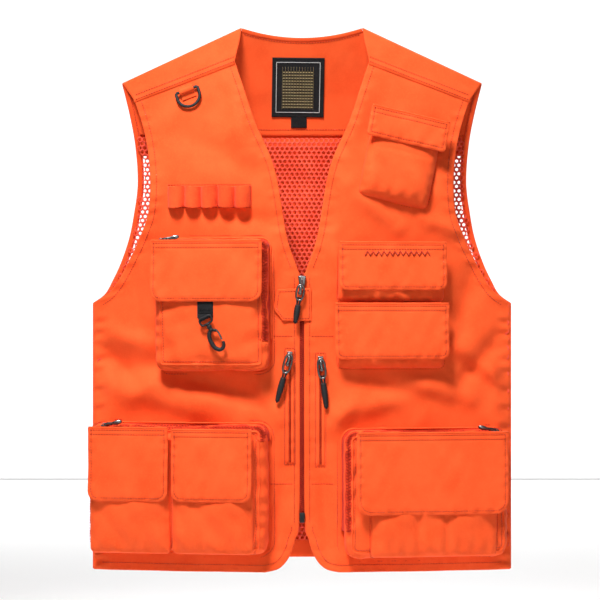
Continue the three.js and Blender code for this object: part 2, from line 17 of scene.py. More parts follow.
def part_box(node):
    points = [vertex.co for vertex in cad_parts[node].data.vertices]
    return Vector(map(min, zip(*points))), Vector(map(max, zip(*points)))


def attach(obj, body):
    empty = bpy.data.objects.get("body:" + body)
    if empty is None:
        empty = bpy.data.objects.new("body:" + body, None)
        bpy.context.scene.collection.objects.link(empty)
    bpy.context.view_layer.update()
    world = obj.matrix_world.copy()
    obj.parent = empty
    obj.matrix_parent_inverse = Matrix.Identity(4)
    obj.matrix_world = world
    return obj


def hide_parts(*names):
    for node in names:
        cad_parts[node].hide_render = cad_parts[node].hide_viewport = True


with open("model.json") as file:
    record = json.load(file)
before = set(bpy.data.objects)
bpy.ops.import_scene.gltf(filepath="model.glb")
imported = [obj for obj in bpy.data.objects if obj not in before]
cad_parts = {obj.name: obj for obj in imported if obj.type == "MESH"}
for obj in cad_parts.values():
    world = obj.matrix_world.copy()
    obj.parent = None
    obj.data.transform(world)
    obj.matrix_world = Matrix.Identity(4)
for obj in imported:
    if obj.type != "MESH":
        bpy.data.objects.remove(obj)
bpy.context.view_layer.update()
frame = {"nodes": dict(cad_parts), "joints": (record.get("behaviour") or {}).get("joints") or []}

MM = 0.001
random.seed(7)


def cad(node):
    """Lowest and highest corner of a CAD node, in mm, with heights from the hem."""
    low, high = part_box(node)
    return [Vector((p[0] / MM, p[1] / MM, p[2] / MM + NECKLINE_Z)) for p in (low, high)]


NECKLINE_Z = -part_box("right_front")[0][2] / MM
SEAM_X = cad("right_front")[0].x * -1
FRONT_BULGE = -cad("right_front")[0].y - 1.7
BACK_BULGE = cad("back_shell")[1].y - 2.8
NECK_Z = cad("right_yoke")[1].z
TIP_X = -cad("right_yoke")[0].x
NECK_X = -cad("right_yoke")[1].x
TIP_Z = 611.0
V_BOTTOM_Z = cad("right_zip_tape")[1].z
ZIP_BOTTOM_Z = cad("zip_box")[0].z
SHOULDER_ROUND = 200.0
YOKE_Z = cad("back_yoke")[0].z
FACING_Z = cad("neck_facing")[0].z
CLOTH = 1.5
FOLD_DEPTH = 2.6


# ---- the vest's surface --------------------------------------------------------------------
def smooth(points, per_span):
    """A Catmull-Rom line through the points, as an array."""
    p = np.array([points[0], *points, points[-1]], float)
    out = []
    for i in range(1, len(p) - 2):
        t = np.linspace(0, 1, per_span, endpoint=False)[:, None]
        a, b, c, d = p[i - 1], p[i], p[i + 1], p[i + 2]
        out.append(0.5 * (2 * b + (c - a) * t + (2 * a - 5 * b + 4 * c - d) * t**2 + (3 * b - a - 3 * c + d) * t**3))
    return np.vstack([*out, p[-2:-1]])


def resample(line, count):
    """The line at equal steps of its length."""
    line = np.asarray(line, float)
    far = np.concatenate([[0], np.cumsum(np.linalg.norm(np.diff(line, axis=0), axis=1))])
    at = np.linspace(0, far[-1], count)
    return np.stack([np.interp(at, far, line[:, k]) for k in range(line.shape[1])], axis=1)


def shoulder_line(x):
    return NECK_Z - np.maximum(0, np.abs(x) - NECK_X) * (NECK_Z - TIP_Z) / (TIP_X - NECK_X)


def fullness(x, z):
    across = np.maximum(0, 1 - (x / SEAM_X) ** 2)
    down = np.clip((shoulder_line(x) - z) / SHOULDER_ROUND, 0, 1)
    return across * np.sin(down * math.pi / 2)


# Folds of the hanging cloth: from (x, z) to (x, z), half width, height out of the surface.
FRONT_FOLDS = [
    (-252, 238, -70, 186, 15, 3.6), (-244, 268, -45, 214, 15, -3.8), (-250, 300, -190, 285, 12, 2.4),
    (45, 196, 150, 226, 14, 3.0), (75, 240, 190, 214, 14, -3.0), (185, 290, 258, 232, 14, 3.4),
        (200, 262, 254, 206, 12, -3.0),
    (-215, 215, -150, 262, 15, 3.0), (-250, 270, -195, 225, 13, -3.4), (-190, 238, -70, 205, 12, 3.2),
    (-60, 245, -28, 190, 10, 2.4), (-200, 300, -222, 400, 14, -2.6), (-196, 430, -165, 520, 16, 2.6),
    (-150, 545, -60, 500, 17, -2.2), (-90, 610, -70, 520, 14, 2.4), (-30, 420, -50, 340, 11, 2.2),
    (-255, 60, -240, 250, 12, 2.2), (-33, 30, -20, 130, 9, -2.0), (-120, 450, -35, 435, 12, -2.0),
    (210, 215, 120, 238, 13, 3.2), (250, 290, 195, 235, 13, -3.4), (70, 222, 40, 180, 11, 2.4),
    (195, 300, 222, 395, 14, -2.8), (190, 430, 168, 520, 15, 2.6), (60, 480, 120, 430, 13, 2.6),
    (80, 600, 55, 520, 13, 2.2), (38, 420, 52, 340, 10, 2.2), (256, 60, 246, 250, 12, 2.2),
    (33, 30, 24, 130, 9, -2.0), (200, 250, 258, 205, 10, 2.2), (150, 440, 205, 425, 10, 2.0),
]
BACK_FOLDS = [
    (-150, 60, -170, 330, 26, 4.0), (-60, 80, -40, 300, 24, -3.4), (50, 60, 75, 340, 26, 3.8),
    (150, 100, 140, 330, 24, -3.6), (-180, 420, -60, 500, 22, 3.0), (180, 420, 60, 500, 22, 3.0),
    (-240, 330, -120, 260, 16, 3.0), (240, 330, 120, 250, 16, 3.0), (0, 380, 10, 500, 20, -2.4),
]


def folds(x, z, table):
    x, z = np.asarray(x, float), np.asarray(z, float)
    total = np.zeros(np.broadcast(x, z).shape)
    for x0, z0, x1, z1, width, height in table:
        length2 = (x1 - x0) ** 2 + (z1 - z0) ** 2
        t = np.clip(((x - x0) * (x1 - x0) + (z - z0) * (z1 - z0)) / length2, 0, 1)
        off = np.hypot(x - x0 - t * (x1 - x0), z - z0 - t * (z1 - z0))
        total += height * np.exp(-((off / width) ** 2)) * (0.35 + 0.65 * np.sin(math.pi * np.clip(t, 0.08,
            0.92)))
    ripple = np.sin(x / 23 + 1.7 * np.sin(z / 61)) * np.sin(z / 31 + 1.3 * np.sin(x / 47))
    fine = np.sin(x / 9.1 + 2.1 * np.sin(z / 19)) * np.sin(z / 12.3 + 1.9 * np.sin(x / 15.7))
    calm = np.clip((SEAM_X - np.abs(x)) / 22, 0, 1) * np.clip((shoulder_line(x) - z) / 40, 0, 1)
    return (total + 0.75 * ripple + 0.16 * fine) * calm


def pucker(x, z):
    """Small gathers beside the sewn edges of a front."""
    across = np.abs(x)
    arm = np.interp(z, [335, 348, 365, 393, 416, 446, 482, 523, 557, 590],
        [262, 243, 230, 215, 204, 193, 190, 193, 200, 211])
    lapel = np.interp(z, [0, 4, 14, 28, 62, 366, 419, 502, 560, 602, 638],
        [46, 30, 19, 12, 3.4, 2.6, 19, 34, 58, 72, 84])
    total = np.zeros(np.broadcast(x, z).shape)
    for d, along, size in ((arm - across, z, 0.7), (across - lapel, z, 0.5), (z - 0 * x, x, 0.5),
        (262 - across, z, 0.6)):
        tug = np.sin(along / 3.0 + 1.9 * np.sin(along / 23.0)) + 0.5 * np.sin(along / 1.9 + across / 7)
        total = total + size * tug * np.exp(-(((d - 7) / 8.0) ** 2))
    return total * np.clip((shoulder_line(x) - z) / 50, 0, 1)


def front(x, z, out=0.0):
    """Points of the front, `out` mm proud of the shell's mid surface."""
    x, z = np.asarray(x, float), np.asarray(z, float)
    centre = np.clip(np.abs(x) / 14, 0, 1)
    y = -FRONT_BULGE * fullness(x, z) - (FOLD_DEPTH * folds(x, z, FRONT_FOLDS) + pucker(x, z)) * centre - out
    return np.stack(np.broadcast_arrays(x, y, z), axis=-1)


def back(x, z, out=0.0):
    x, z = np.asarray(x, float), np.asarray(z, float)
    y = BACK_BULGE * fullness(x, z) + 1.7 * folds(x, z, BACK_FOLDS) + out
    return np.stack(np.broadcast_arrays(x, y, z), axis=-1)


# ---- mesh helpers --------------------------------------------------------------------------
def to_world(points):
    p = np.asarray(points, float).reshape(-1, 3).copy()
    p[:, 2] -= NECKLINE_Z
    return p * MM


def make(name, points, faces, material, body="shell", replaces=(), slot=None, flat=False):
    mesh = bpy.data.meshes.new(name)
    mesh.from_pydata([tuple(p) for p in to_world(points)], [], [tuple(int(i) for i in f) for f in faces])
    mesh.validate()
    bm = bmesh.new()
    bm.from_mesh(mesh)
    bmesh.ops.recalc_face_normals(bm, faces=bm.faces)
    bm.to_mesh(mesh)
    bm.free()
    mesh.shade_flat() if flat else mesh.shade_smooth()
    piece = bpy.data.objects.new(name, mesh)
    bpy.context.scene.collection.objects.link(piece)
    return dress(piece, material, body, replaces, slot)


def dress(piece, material, body="shell", replaces=(), slot=None):
    piece.data.materials.clear()
    piece.data.materials.append(material)
    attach(piece, body)
    if replaces:
        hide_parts(*replaces)
    return piece


def slab(face, back_face, roll=0.45):
    """Points and faces of a sheet with two sides and a rolled edge, from two grids of points."""
    rows, cols = face.shape[:2]
    rim = [(0, c) for c in range(cols)] + [(r, cols - 1) for r in range(1, rows)]
    rim += [(rows - 1, c) for c in range(cols - 2, -1, -1)] + [(r, 0) for r in range(rows - 2, 0, -1)]
    face, back_face = face.copy(), back_face.copy()
    edge = np.array([(face[r, c] + back_face[r, c]) / 2 for r, c in rim])
    for grid in (face, back_face):
        pulled = grid.copy()
        for r, c in rim:
            inner = grid[min(max(r, 1), rows - 2), min(max(c, 1), cols - 2)]
            step = inner - grid[r, c]
            pulled[r, c] = grid[r, c] + step * min(0.8, roll / max(np.linalg.norm(step), 1e-6))
        grid[:] = pulled
    count = rows * cols
    points = np.vstack([face.reshape(-1, 3), back_face.reshape(-1, 3), edge])
    faces = []
    for r in range(rows - 1):
        for c in range(cols - 1):
            a = r * cols + c
            faces.append((a, a + 1, a + cols + 1, a + cols))
            faces.append((count + a, count + a + cols, count + a + cols + 1, count + a + 1))
    for i, (r, c) in enumerate(rim):
        r2, c2 = rim[(i + 1) % len(rim)]
        j = (i + 1) % len(rim)
        a, b = r * cols + c, r2 * cols + c2
        faces.append((a, b, 2 * count + j, 2 * count + i))
        faces.append((count + b, count + a, 2 * count + i, 2 * count + j))
    return points, faces


def between(left, right, cols):
    """A grid of (x, z) from one edge line to the other."""
    t = np.linspace(0, 1, cols)[None, :, None]
    return left[:, None, :] * (1 - t) + right[:, None, :] * t


def cloth_piece(name, grid, surface, inner, outer, material, body="shell", replaces=(), slot=None):
    """A sheet over the vest's front or back, from a grid of (x, z)."""
    x, z = grid[..., 0], grid[..., 1]
    return make(name, *slab(surface(x, z, outer), surface(x, z, inner)), material, body, replaces, slot)


def tube(path, radius, sides=8, closed=False, squash=(1, 1), up=Vector((0, -1, 0))):
    """Points and faces of a tube along a path of points, with rounded ends."""
    path = [Vector(p) for p in path]
    count = len(path)
    points, faces = [], []
    for i, p in enumerate(path):
        before = path[i - 1] if i or closed else p
        after = path[(i + 1) % count] if i < count - 1 or closed else p
        along = (after - before).normalized()
        side = along.cross(up)
        side = side.normalized() if side.length > 1e-4 else Vector((1, 0, 0))
        lift = side.cross(along).normalized()
        r = radius[i] if hasattr(radius, "__len__") else radius
        for k in range(sides):
            a = 2 * math.pi * k / sides
            points.append(p + side * (math.cos(a) * r * squash[0]) + lift * (math.sin(a) * r * squash[1]))
    rings = count if closed else count - 1
    for i in range(rings):
        for k in range(sides):
            a, b = i * sides, ((i + 1) % count) * sides
            faces.append((a + k, a + (k + 1) % sides, b + (k + 1) % sides, b + k))
    if not closed:
        faces.append(tuple(range(sides - 1, -1, -1)))
        faces.append(tuple((count - 1) * sides + k for k in range(sides)))
    return np.array([tuple(p) for p in points]), faces


def gather(parts):
    """Several (points, faces) as one."""
    points, faces, base = [], [], 0
    for p, f in parts:
        points.append(np.asarray(p, float).reshape(-1, 3))
        faces += [tuple(i + base for i in face) for face in f]
        base += len(points[-1])
    return np.vstack(points), faces


def stitches(lines, surface, out, pitch=3.4, length=2.5, radius=0.4):
    """Thread along lines of (x, z): each stitch is a short tube that dips in at both ends."""
    parts = []
    for line in lines:
        line = np.asarray(line, float)
        total = np.linalg.norm(np.diff(line, axis=0), axis=1).sum()
        count = max(2, int(total / pitch))
        fine = resample(line, count * 4 + 1)
        for i in range(count):
            a, m, b = fine[4 * i], fine[4 * i + 1] * 0.5 + fine[4 * i + 2] * 0.5, fine[4 * i + 3]
            b = a + (b - a) * min(1, length / max(np.linalg.norm(b - a), 1e-6))
            m = (a + b) / 2
            path = [
                surface(a[0], a[1], out - radius * 0.9), surface(*(a * 0.7 + m * 0.3), out + radius * 0.5),
                surface(m[0], m[1], out + radius * 0.8), surface(*(b * 0.7 + m * 0.3), out + radius * 0.5),
                surface(b[0], b[1], out - radius * 0.9),
            ]
            parts.append(tube(path, [radius * 0.6, radius, radius, radius, radius * 0.6], 5))
    return gather(parts)


def stitch(name, lines, surface, out, body="shell", material=None, **how):
    points, faces = stitches(lines, surface, out, **how)
    return make(name, points, faces, material or THREAD_DARKENED_AS_SEAM_SHADE, body)


# ---- materials -----------------------------------------------------------------------------
class Look:
    """A node material in the making: shared coordinates, bump and colour mixing."""

    def __init__(self, name, roughness, metallic=0.0, sheen=0.0, sheen_rough=0.5, specular=0.5):
        self.material = bpy.data.materials.new(name)
        self.material.use_nodes = True
        self.tree = self.material.node_tree
        self.shader = self.tree.nodes["Principled BSDF"]
        self.shader.inputs["Roughness"].default_value = roughness
        self.shader.inputs["Metallic"].default_value = metallic
        self.shader.inputs["Sheen Weight"].default_value = sheen
        self.shader.inputs["Sheen Roughness"].default_value = sheen_rough
        self.shader.inputs["Specular IOR Level"].default_value = specular
        self.place = self.tree.nodes.new("ShaderNodeTexCoord").outputs["Object"]
        self.height = None

    def node(self, kind, **inputs):
        made = self.tree.nodes.new(kind)
        for key, value in inputs.items():
            if hasattr(made, key) and key[0].islower():
                setattr(made, key, value)
            elif hasattr(value, "links"):
                self.tree.links.new(value, made.inputs[key.replace("_", " ")])
            else:
                made.inputs[key.replace("_", " ")].default_value = value
        return made

    def noise(self, scale, detail=3.0, stretch=(1, 1, 1), rough=0.55):
        mapping = self.node("ShaderNodeMapping", Vector=self.place, Scale=stretch)
        return self.node(
            "ShaderNodeTexNoise", Vector=mapping.outputs[0], Scale=scale, Detail=detail, Roughness=rough
        ).outputs["Fac"]

    def bands(self, period_mm, direction, distortion=0.0):
        wave = self.node("ShaderNodeTexWave", Vector=self.place, Scale=0.314 / (period_mm * MM),
            Distortion=distortion)
        wave.bands_direction = direction
        return wave.outputs["Fac"]

    def math(self, how, a, b):
        made = self.tree.nodes.new("ShaderNodeMath")
        made.operation = how
        for socket, value in zip(made.inputs, (a, b)):
            if hasattr(value, "links"):
                self.tree.links.new(value, socket)
            else:
                socket.default_value = value
        return made.outputs[0]

    def mix(self, low, high, share):
        made = self.tree.nodes.new("ShaderNodeMix")
        made.data_type = "RGBA"
        for socket, value in ((made.inputs[0], share), (made.inputs[6], low), (made.inputs[7], high)):
            if hasattr(value, "links"):
                self.tree.links.new(value, socket)
            else:
                socket.default_value = value
        return made.outputs[2]

    def ramp(self, value, low, high):
        made = self.node("ShaderNodeMapRange", Value=value)
        made.inputs["From Min"].default_value = low
        made.inputs["From Max"].default_value = high
        return made.outputs[0]

    def colour(self, socket):
        self.tree.links.new(socket, self.shader.inputs["Base Color"])
        return self

    def rough(self, socket):
        self.tree.links.new(socket, self.shader.inputs["Roughness"])
        return self

    def bump(self, height, distance_mm, strength=1.0):
        made = self.node("ShaderNodeBump", Height=height, Strength=strength, Distance=distance_mm * MM)
        if self.height:
            self.tree.links.new(self.height, made.inputs["Normal"])
        self.height = made.outputs[0]
        self.tree.links.new(self.height, self.shader.inputs["Normal"])
        return self


def rgba(r, g, b):
    return (r, g, b, 1.0)


def woven(name, base, dark, light, period=0.55, depth=0.12, twill=False, sheen=0.04):
    """Plain or twill cloth: yarns both ways, slubs, soft mottling and faint worn highlights."""
    look = Look(name, 0.82, sheen=sheen, sheen_rough=0.45, specular=0.14)
    warp = look.bands(period, "X", 0.6)
    weft = look.bands(period, "Z", 0.6)
    if twill:
        warp = look.bands(period * 1.3, "DIAGONAL", 0.4)
    weave = look.math("MULTIPLY", warp, weft)
    slub = look.noise(2600, 2, (1, 1, 0.12))
    mottle = look.noise(34, 4)
    grain = look.noise(420, 3)
    tone = look.mix(dark, base, look.ramp(mottle, 0.3, 0.62))
    tone = look.mix(tone, light, look.math("MULTIPLY", look.ramp(grain, 0.48, 0.72), 0.35))
    tone = look.mix(tone, dark, look.math("MULTIPLY", look.math("SUBTRACT", 1.0, weave), 0.22))
    look.colour(tone).rough(look.ramp(look.math("ADD", look.math("MULTIPLY", grain, 0.3), 0.62), 0.0, 1.0))
    look.bump(look.noise(160, 4), 0.5, 0.35).bump(weave, depth, 0.7).bump(slub, 0.05, 0.5)
    return look.material


ORANGE = rgba(0.92, 0.104, 0.022)
ORANGE_DARK = rgba(0.86, 0.08, 0.014)
ORANGE_LIGHT = rgba(0.97, 0.14, 0.034)
SHELL = woven("shell_cloth", ORANGE, ORANGE_DARK, ORANGE_LIGHT)
BINDING = woven("binding_tape", rgba(0.88, 0.09, 0.018), rgba(0.76, 0.06, 0.01), ORANGE_LIGHT, 0.7, 0.16,
    True)
TAPE = woven("zip_tape", rgba(0.66, 0.045, 0.012), rgba(0.46, 0.02, 0.006), rgba(0.85, 0.09, 0.025), 0.8,
    0.15, True, 0.05)
# The thread is coloured a darker red than the cloth. This is painted shade that stands in for the small dimples the
# stitches pull into the seams.
THREAD_DARKENED_AS_SEAM_SHADE = woven("sewing_thread_darkened_as_seam_shade", rgba(0.52, 0.035, 0.008), rgba(0.36, 0.015, 0.004), rgba(0.8, 0.12, 0.04),
    0.25, 0.05, True, 0.2)
NETTING = woven("knitted_mesh", rgba(0.88, 0.1, 0.055), rgba(0.74, 0.06, 0.03), rgba(0.97, 0.17, 0.1), 0.4,
    0.08, False, 0.1)
ELASTIC = woven("ribbed_elastic", rgba(0.9, 0.1, 0.021), rgba(0.74, 0.055, 0.011), ORANGE_LIGHT, 0.9, 0.3,
    False, 0.1)
BLACK = (rgba(0.012, 0.012, 0.013), rgba(0.005, 0.005, 0.006), rgba(0.035, 0.035, 0.037))
SATIN = woven("label_satin", *BLACK, 0.35, 0.05, True, 0.1)
WEBBING = woven("black_webbing", *BLACK, 1.4, 0.35, True, 0.15)
CORD = woven("black_cord", *BLACK, 0.9, 0.3, True, 0.1)


def plastic():
    look = Look("black_acetal", 0.34, specular=0.4)
    wear = look.ramp(look.noise(90, 5), 0.55, 0.75)
    look.colour(look.mix(rgba(0.006, 0.006, 0.007), rgba(0.016, 0.016, 0.017), wear))
    look.rough(look.ramp(look.noise(260, 4), -0.9, 1.3))
    look.bump(look.noise(900, 3), 0.05, 0.5)
    return look.material


def nickel():
    look = Look("nickel_plate", 0.25, 1.0)
    haze_and_painted_reflection = look.noise(300, 4)
    # The base colour goes from dark to light grey with this noise, which is painted reflection contrast. The same
    # noise also varies the roughness, which is the plating's own finish.
    look.colour(look.mix(rgba(0.1, 0.1, 0.103), rgba(0.26, 0.255, 0.25), haze_and_painted_reflection))
    look.rough(look.ramp(haze_and_painted_reflection, -0.25, 2.2))
    look.bump(look.noise(1400, 2), 0.02, 0.4)
    return look.material


def plain_thread(name, base, light):
    look = Look(name, 0.45, sheen=0.2, specular=0.6)
    look.colour(look.mix(base, light, look.bands(0.5, "X", 2.0)))
    look.bump(look.bands(0.45, "Z", 1.0), 0.04, 0.6)
    return look.material


PLASTIC = plastic()
NICKEL = nickel()
GOLD = plain_thread("gold_thread", rgba(0.34, 0.24, 0.07), rgba(0.6, 0.47, 0.2))
SILVER = plain_thread("silver_thread", rgba(0.45, 0.46, 0.44), rgba(0.75, 0.76, 0.74))
TEETH = woven("zip_teeth", rgba(0.42, 0.025, 0.008), rgba(0.25, 0.01, 0.004), rgba(0.7, 0.1, 0.04), 0.9,
    0.04, False, 0.0)


# ---- back, lining, bindings ----------------------------------------------------------------
BACK_ARMHOLE = [
    (262.5, 335), (248, 346), (238, 364), (228, 386), (218, 416), (212, 446), (207, 487), (210, 535),
    (217, 574), (226, 611),
]
FRONT_ARMHOLE = [
    (262.5, 335), (243, 348), (230, 365), (215, 393), (204, 416), (193, 446), (190, 482), (193, 523),
    (200, 557), (211, 590),
]
BINDING_WIDTH = 7.0


def hem_line(x):
    return 12.0 * (1 - (x / SEAM_X) ** 2)


def neckline(x):
    low = cad("neck_binding")[0].z + 4.0
    return np.where(np.abs(x) < NECK_X, low + (NECK_Z - low) * (x / NECK_X) ** 2, shoulder_line(x))


def mirrored(grid):
    flipped = grid[:, ::-1].copy()
    flipped[..., 0] *= -1
    return flipped


def make_back():
    edge = smooth(BACK_ARMHOLE, 10)
    vent = smooth([(262, 329), (236, 352), (222, 378), (208, 408), (186, 436), (182, 480), (192, 512),
        (200, YOKE_Z)], 9)
    side = np.vstack([[(262.0, 0.0)], [(262.0, z) for z in np.linspace(5, 322, 56)], vent])
    grid = between(side * [-1, 1], side, 110)
    grid[..., 1] += np.clip(1 - grid[..., 1] / 40, 0, 1) * hem_line(grid[..., 0])
    shell = cloth_piece("back_shell_cloth", grid, back, 1.3, 2.9, SHELL, replaces=["back_shell"])

    def yoke_grid(bottom, rows, trim, reach=0.0):
        t = np.linspace(0, 1, rows)
        half = np.interp(bottom + t * (TIP_Z - bottom), edge[:, 1], edge[:, 0]) - trim
        u = np.linspace(-1, 1, 130)
        x = half[:, None] * u[None, :]
        top = neckline(u * (TIP_X - trim)) + reach
        z = bottom + (top[None, :] - bottom) * t[:, None]
        return np.stack([x, z], axis=-1)

    yoke = cloth_piece("back_yoke_cloth", yoke_grid(YOKE_Z - 4, 40, 2.0, -1.2), back, 2.0, 3.6, SHELL,
        replaces=["back_yoke"])
    facing = cloth_piece("neck_facing_cloth", yoke_grid(FACING_Z - 1, 36, 3.0, -2.0), back, -0.1, 1.1,
        SHELL, replaces=["neck_facing"])

    lines = [[(x, z) for x in np.linspace(-203, 203, 60)] for z in (YOKE_Z + 1.5, YOKE_Z + 7.5)]
    lines.append([(x, hem_line(x) + 10) for x in np.linspace(-258, 258, 70)])
    stitch("back_yoke_stitching", lines[:2], back, 3.7)
    stitch("back_hem_stitching", lines[2:], back, 3.0)
    inner = lambda x, z, out: back(x, z, -out)
    stitch("neck_facing_stitching", [[(x, z) for x in np.linspace(-200, 200, 80)] for z in (FACING_Z + 7,)],
        inner, 0.15)
    stitch("neck_edge_stitching", [[(x, float(neckline(x)) - 6) for x in np.linspace(-73, 73, 40)]], inner,
        0.15)

    hem = np.stack(np.meshgrid(np.linspace(-259, 259, 110), np.linspace(0, 24, 6)), axis=-1)
    hem[..., 1] += hem_line(hem[..., 0])
    cloth_piece("back_hem_fold", hem, back, -0.2, 0.9, SHELL, replaces=["back_hem_facing"])


def binding(name, line, inward, surface, width, low, high, node):
    """Tape folded over an edge: a U section swept along the line of (x, z)."""
    section = [(width, high), (width - 0.6, high + 0.35), (0.5, high + 0.3), (-0.5, high - 0.5),
        (-0.8, (low + high) / 2)]
    section += [(-0.5, low + 0.5), (0.5, low - 0.3), (width - 0.6, low - 0.35), (width, low)]
    grid = np.zeros((len(line), len(section), 3))
    for i, (x, z) in enumerate(line):
        for k, (reach, out) in enumerate(section):
            grid[i, k] = surface(x + inward[i][0] * reach, z + inward[i][1] * reach, out)
    rows, cols = grid.shape[:2]
    faces = [(r * cols + c, r * cols + c + 1, (r + 1) * cols + c + 1,
        (r + 1) * cols + c) for r in range(rows - 1) for c in range(cols - 1)]
    faces += [(r * cols + cols - 1, r * cols, (r + 1) * cols,
        (r + 1) * cols + cols - 1) for r in range(rows - 1)]
    faces += [tuple(range(cols)), tuple((rows - 1) * cols + c for c in range(cols - 1, -1, -1))]
    return make(name, grid.reshape(-1, 3), faces, BINDING, replaces=[node])


def normals(line, sign=1):
    line = np.asarray(line, float)
    d = np.gradient(line, axis=0)
    d /= np.linalg.norm(d, axis=1)[:, None]
    return np.stack([-d[:, 1], d[:, 0]], axis=1) * sign


def make_bindings():
    x = np.linspace(-NECK_X + 0.5, NECK_X - 0.5, 80)
    neck = np.stack([x, neckline(x)], axis=1)
    binding("neck_binding_tape", neck, normals(neck, -1), back, 4.5, -0.5, 4.0, "neck_binding")
    for side, sign in (("right", -1), ("left", 1)):
        edge = resample(smooth(BACK_ARMHOLE, 12), 150) * [sign, 1]
        binding(f"{side}_armhole_tape", edge, normals(edge, sign), back, BINDING_WIDTH, -0.4, 4.0,
            f"{side}_armhole_binding")
        inset = edge + normals(edge, sign) * 5.4
        stitch(f"{side}_armhole_back_stitching", [inset[4:-4]], lambda a, b, out: back(a, b, -out), 0.75)


def make_netting():
    """Knitted mesh: a lattice of hexagonal holes between thin strands."""
    pitch = 6.2
    row_step = pitch * math.sqrt(3) / 2
    edge = smooth(BACK_ARMHOLE, 10)
    low, high = 26.0, FACING_Z + 3
    points, faces = [], []
    hole, rim = 0.35 * pitch, 0.5 * pitch
    corners = [(math.sin(math.radians(60 * k)), math.cos(math.radians(60 * k))) for k in range(6)]
    for j in range(int((high - low) / row_step)):
        z = low + j * row_step
        half = np.interp(z, edge[:, 1], edge[:, 0]) - 4.0 if z > 335 else SEAM_X - 4.0
        count = int(2 * half / pitch)
        for i in range(count):
            x = (i - count // 2) * pitch + (pitch / 2 if j % 2 else 0)
            if abs(x) > half or z < hem_line(x) + 22:
                continue
            base = len(points)
            for k, (sx, cz) in enumerate(corners):
                outer = rim / math.cos(math.radians(30))
                points.append((x + sx * outer, z + cz * outer, 0.55))
            for k, (sx, cz) in enumerate(corners):
                wobble = 1 + 0.1 * math.sin(12.9 * i + 78.2 * j + k)
                points.append((x + sx * hole * wobble, z + cz * hole * wobble, 0.75))
            for k in range(6):
                faces.append((base + k, base + (k + 1) % 6, base + 6 + (k + 1) % 6, base + 6 + k))
    flat = np.array(points)
    placed = back(flat[:, 0], flat[:, 1], 0)
    placed[:, 1] += flat[:, 2] - 4.2
    piece = make("back_mesh_netting", placed, faces, NETTING, replaces=["back_mesh_lining"])
    weld = piece.modifiers.new("weld", "WELD")
    weld.merge_threshold = 0.0002
    solid = piece.modifiers.new("strands", "SOLIDIFY")
    solid.thickness = 0.0005
    solid.offset = 0
    return piece


# ---- fronts --------------------------------------------------------------------------------
FRONT_EDGE = [
    (46, 0), (30, 4), (19, 14), (12, 28), (8, 42), (3.4, 62), (2.6, 160), (2.6, 260), (2.6, V_BOTTOM_Z - 6),
    (5, 376), (19, 419), (34, 502), (58, 560), (72, 602), (84, 638),
]
YOKE_INNER = [(84, 638), (81, 652), (77.5, 668), (76, 681)]


def outer_edge():
    arm = smooth(FRONT_ARMHOLE, 14)
    return np.vstack([[(262.0, z) for z in np.linspace(0, 325, 60)], arm])


def front_grid(rows=200, cols=84):
    """Rows from the front edge to the side seam, packed to follow both edges."""
    inner = smooth(FRONT_EDGE, 12)
    low = inner[inner[:, 1] <= V_BOTTOM_Z - 6]
    high = inner[inner[:, 1] > V_BOTTOM_Z - 6]
    outer = outer_edge()
    under = outer[outer[:, 1] <= PIT_Z]
    above = outer[outer[:, 1] > PIT_Z]
    split = int(rows * 0.52)
    left = np.vstack([resample(low, split), resample(high, rows - split)])
    right = np.vstack([resample(under, split), resample(above, rows - split)])
    return between(left, right, cols)


PIT_Z = 334.0


def offset_line(line, distance):
    line = resample(line, 160)
    return line + normals(line) * distance


def make_fronts():
    yoke_seam = [(84, 638), (211.3, 590.4)]
    for side, sign in (("right", -1), ("left", 1)):
        turn = mirrored if sign < 0 else (lambda g: g)
        grid = turn(front_grid())
        shell = cloth_piece(f"{side}_front_cloth", grid, front, 0.0, CLOTH + 0.2, SHELL,
            replaces=[f"{side}_front"])
        t = np.linspace(0, 1, 26)[:, None]
        inner = resample(smooth(YOKE_INNER, 8), 26) + [0.4, 0]
        outer = np.array(yoke_seam[1]) * (1 - t) + np.array([TIP_X - 0.4, TIP_Z]) * t
        inner[0] += (-0.6, -3.5)
        outer[0] += (0.2, -3.5)
        yoke = cloth_piece(f"{side}_yoke_cloth", turn(between(inner, outer, 50)), front, 0.6, CLOTH + 1.1,
            SHELL, replaces=[f"{side}_yoke"])

        edge = smooth(FRONT_EDGE, 10)
        neck_edge = np.vstack([edge[edge[:, 1] > 380], smooth(YOKE_INNER, 6)[1:-2]])
        hem_edge = np.vstack([[(258.0, 0.4)], edge[edge[:, 1] < 60]])
        arm = smooth(FRONT_ARMHOLE, 10)
        lines = [offset_line(neck_edge, -7.5), offset_line(arm, 8.0)[3:]]
        lines += [offset_line(hem_edge, -9.0)[4:], np.array([(9.5, 62), (9.5, 368)])]
        lines += [np.array([(12, z), (40, z)]) for z in (294, 110)]
        stitch(f"{side}_front_stitching", [np.asarray(l) * [sign, 1] for l in lines], front, CLOTH + 0.3)
        a, b = np.array(yoke_seam)
        seam = [np.array([a + (1, d), b + (-1, d)]) * [sign, 1] for d in (0.5, 6.5)]
        stitch(f"{side}_yoke_stitching", seam, front, CLOTH + 1.2)
        facing(side, sign, neck_edge, arm)


def facing(side, sign, neck_edge, arm):
    """Strips turned to the inside along the neck and the armhole, with their raised edges outside."""
    for name, line, width in (("neck", neck_edge, -26.0), ("armhole", arm[2:-1], 20.0)):
        line = resample(line, 90)
        inner = line + normals(line) * width
        grid = between(line + normals(line) * (0.02 * width), inner, 7) * [sign, 1]
        grid[..., 1] = np.minimum(grid[..., 1], shoulder_line(grid[..., 0]) - 2.5)
        cloth_piece(f"{side}_{name}_facing", grid, front, -1.2, -0.2, SHELL)


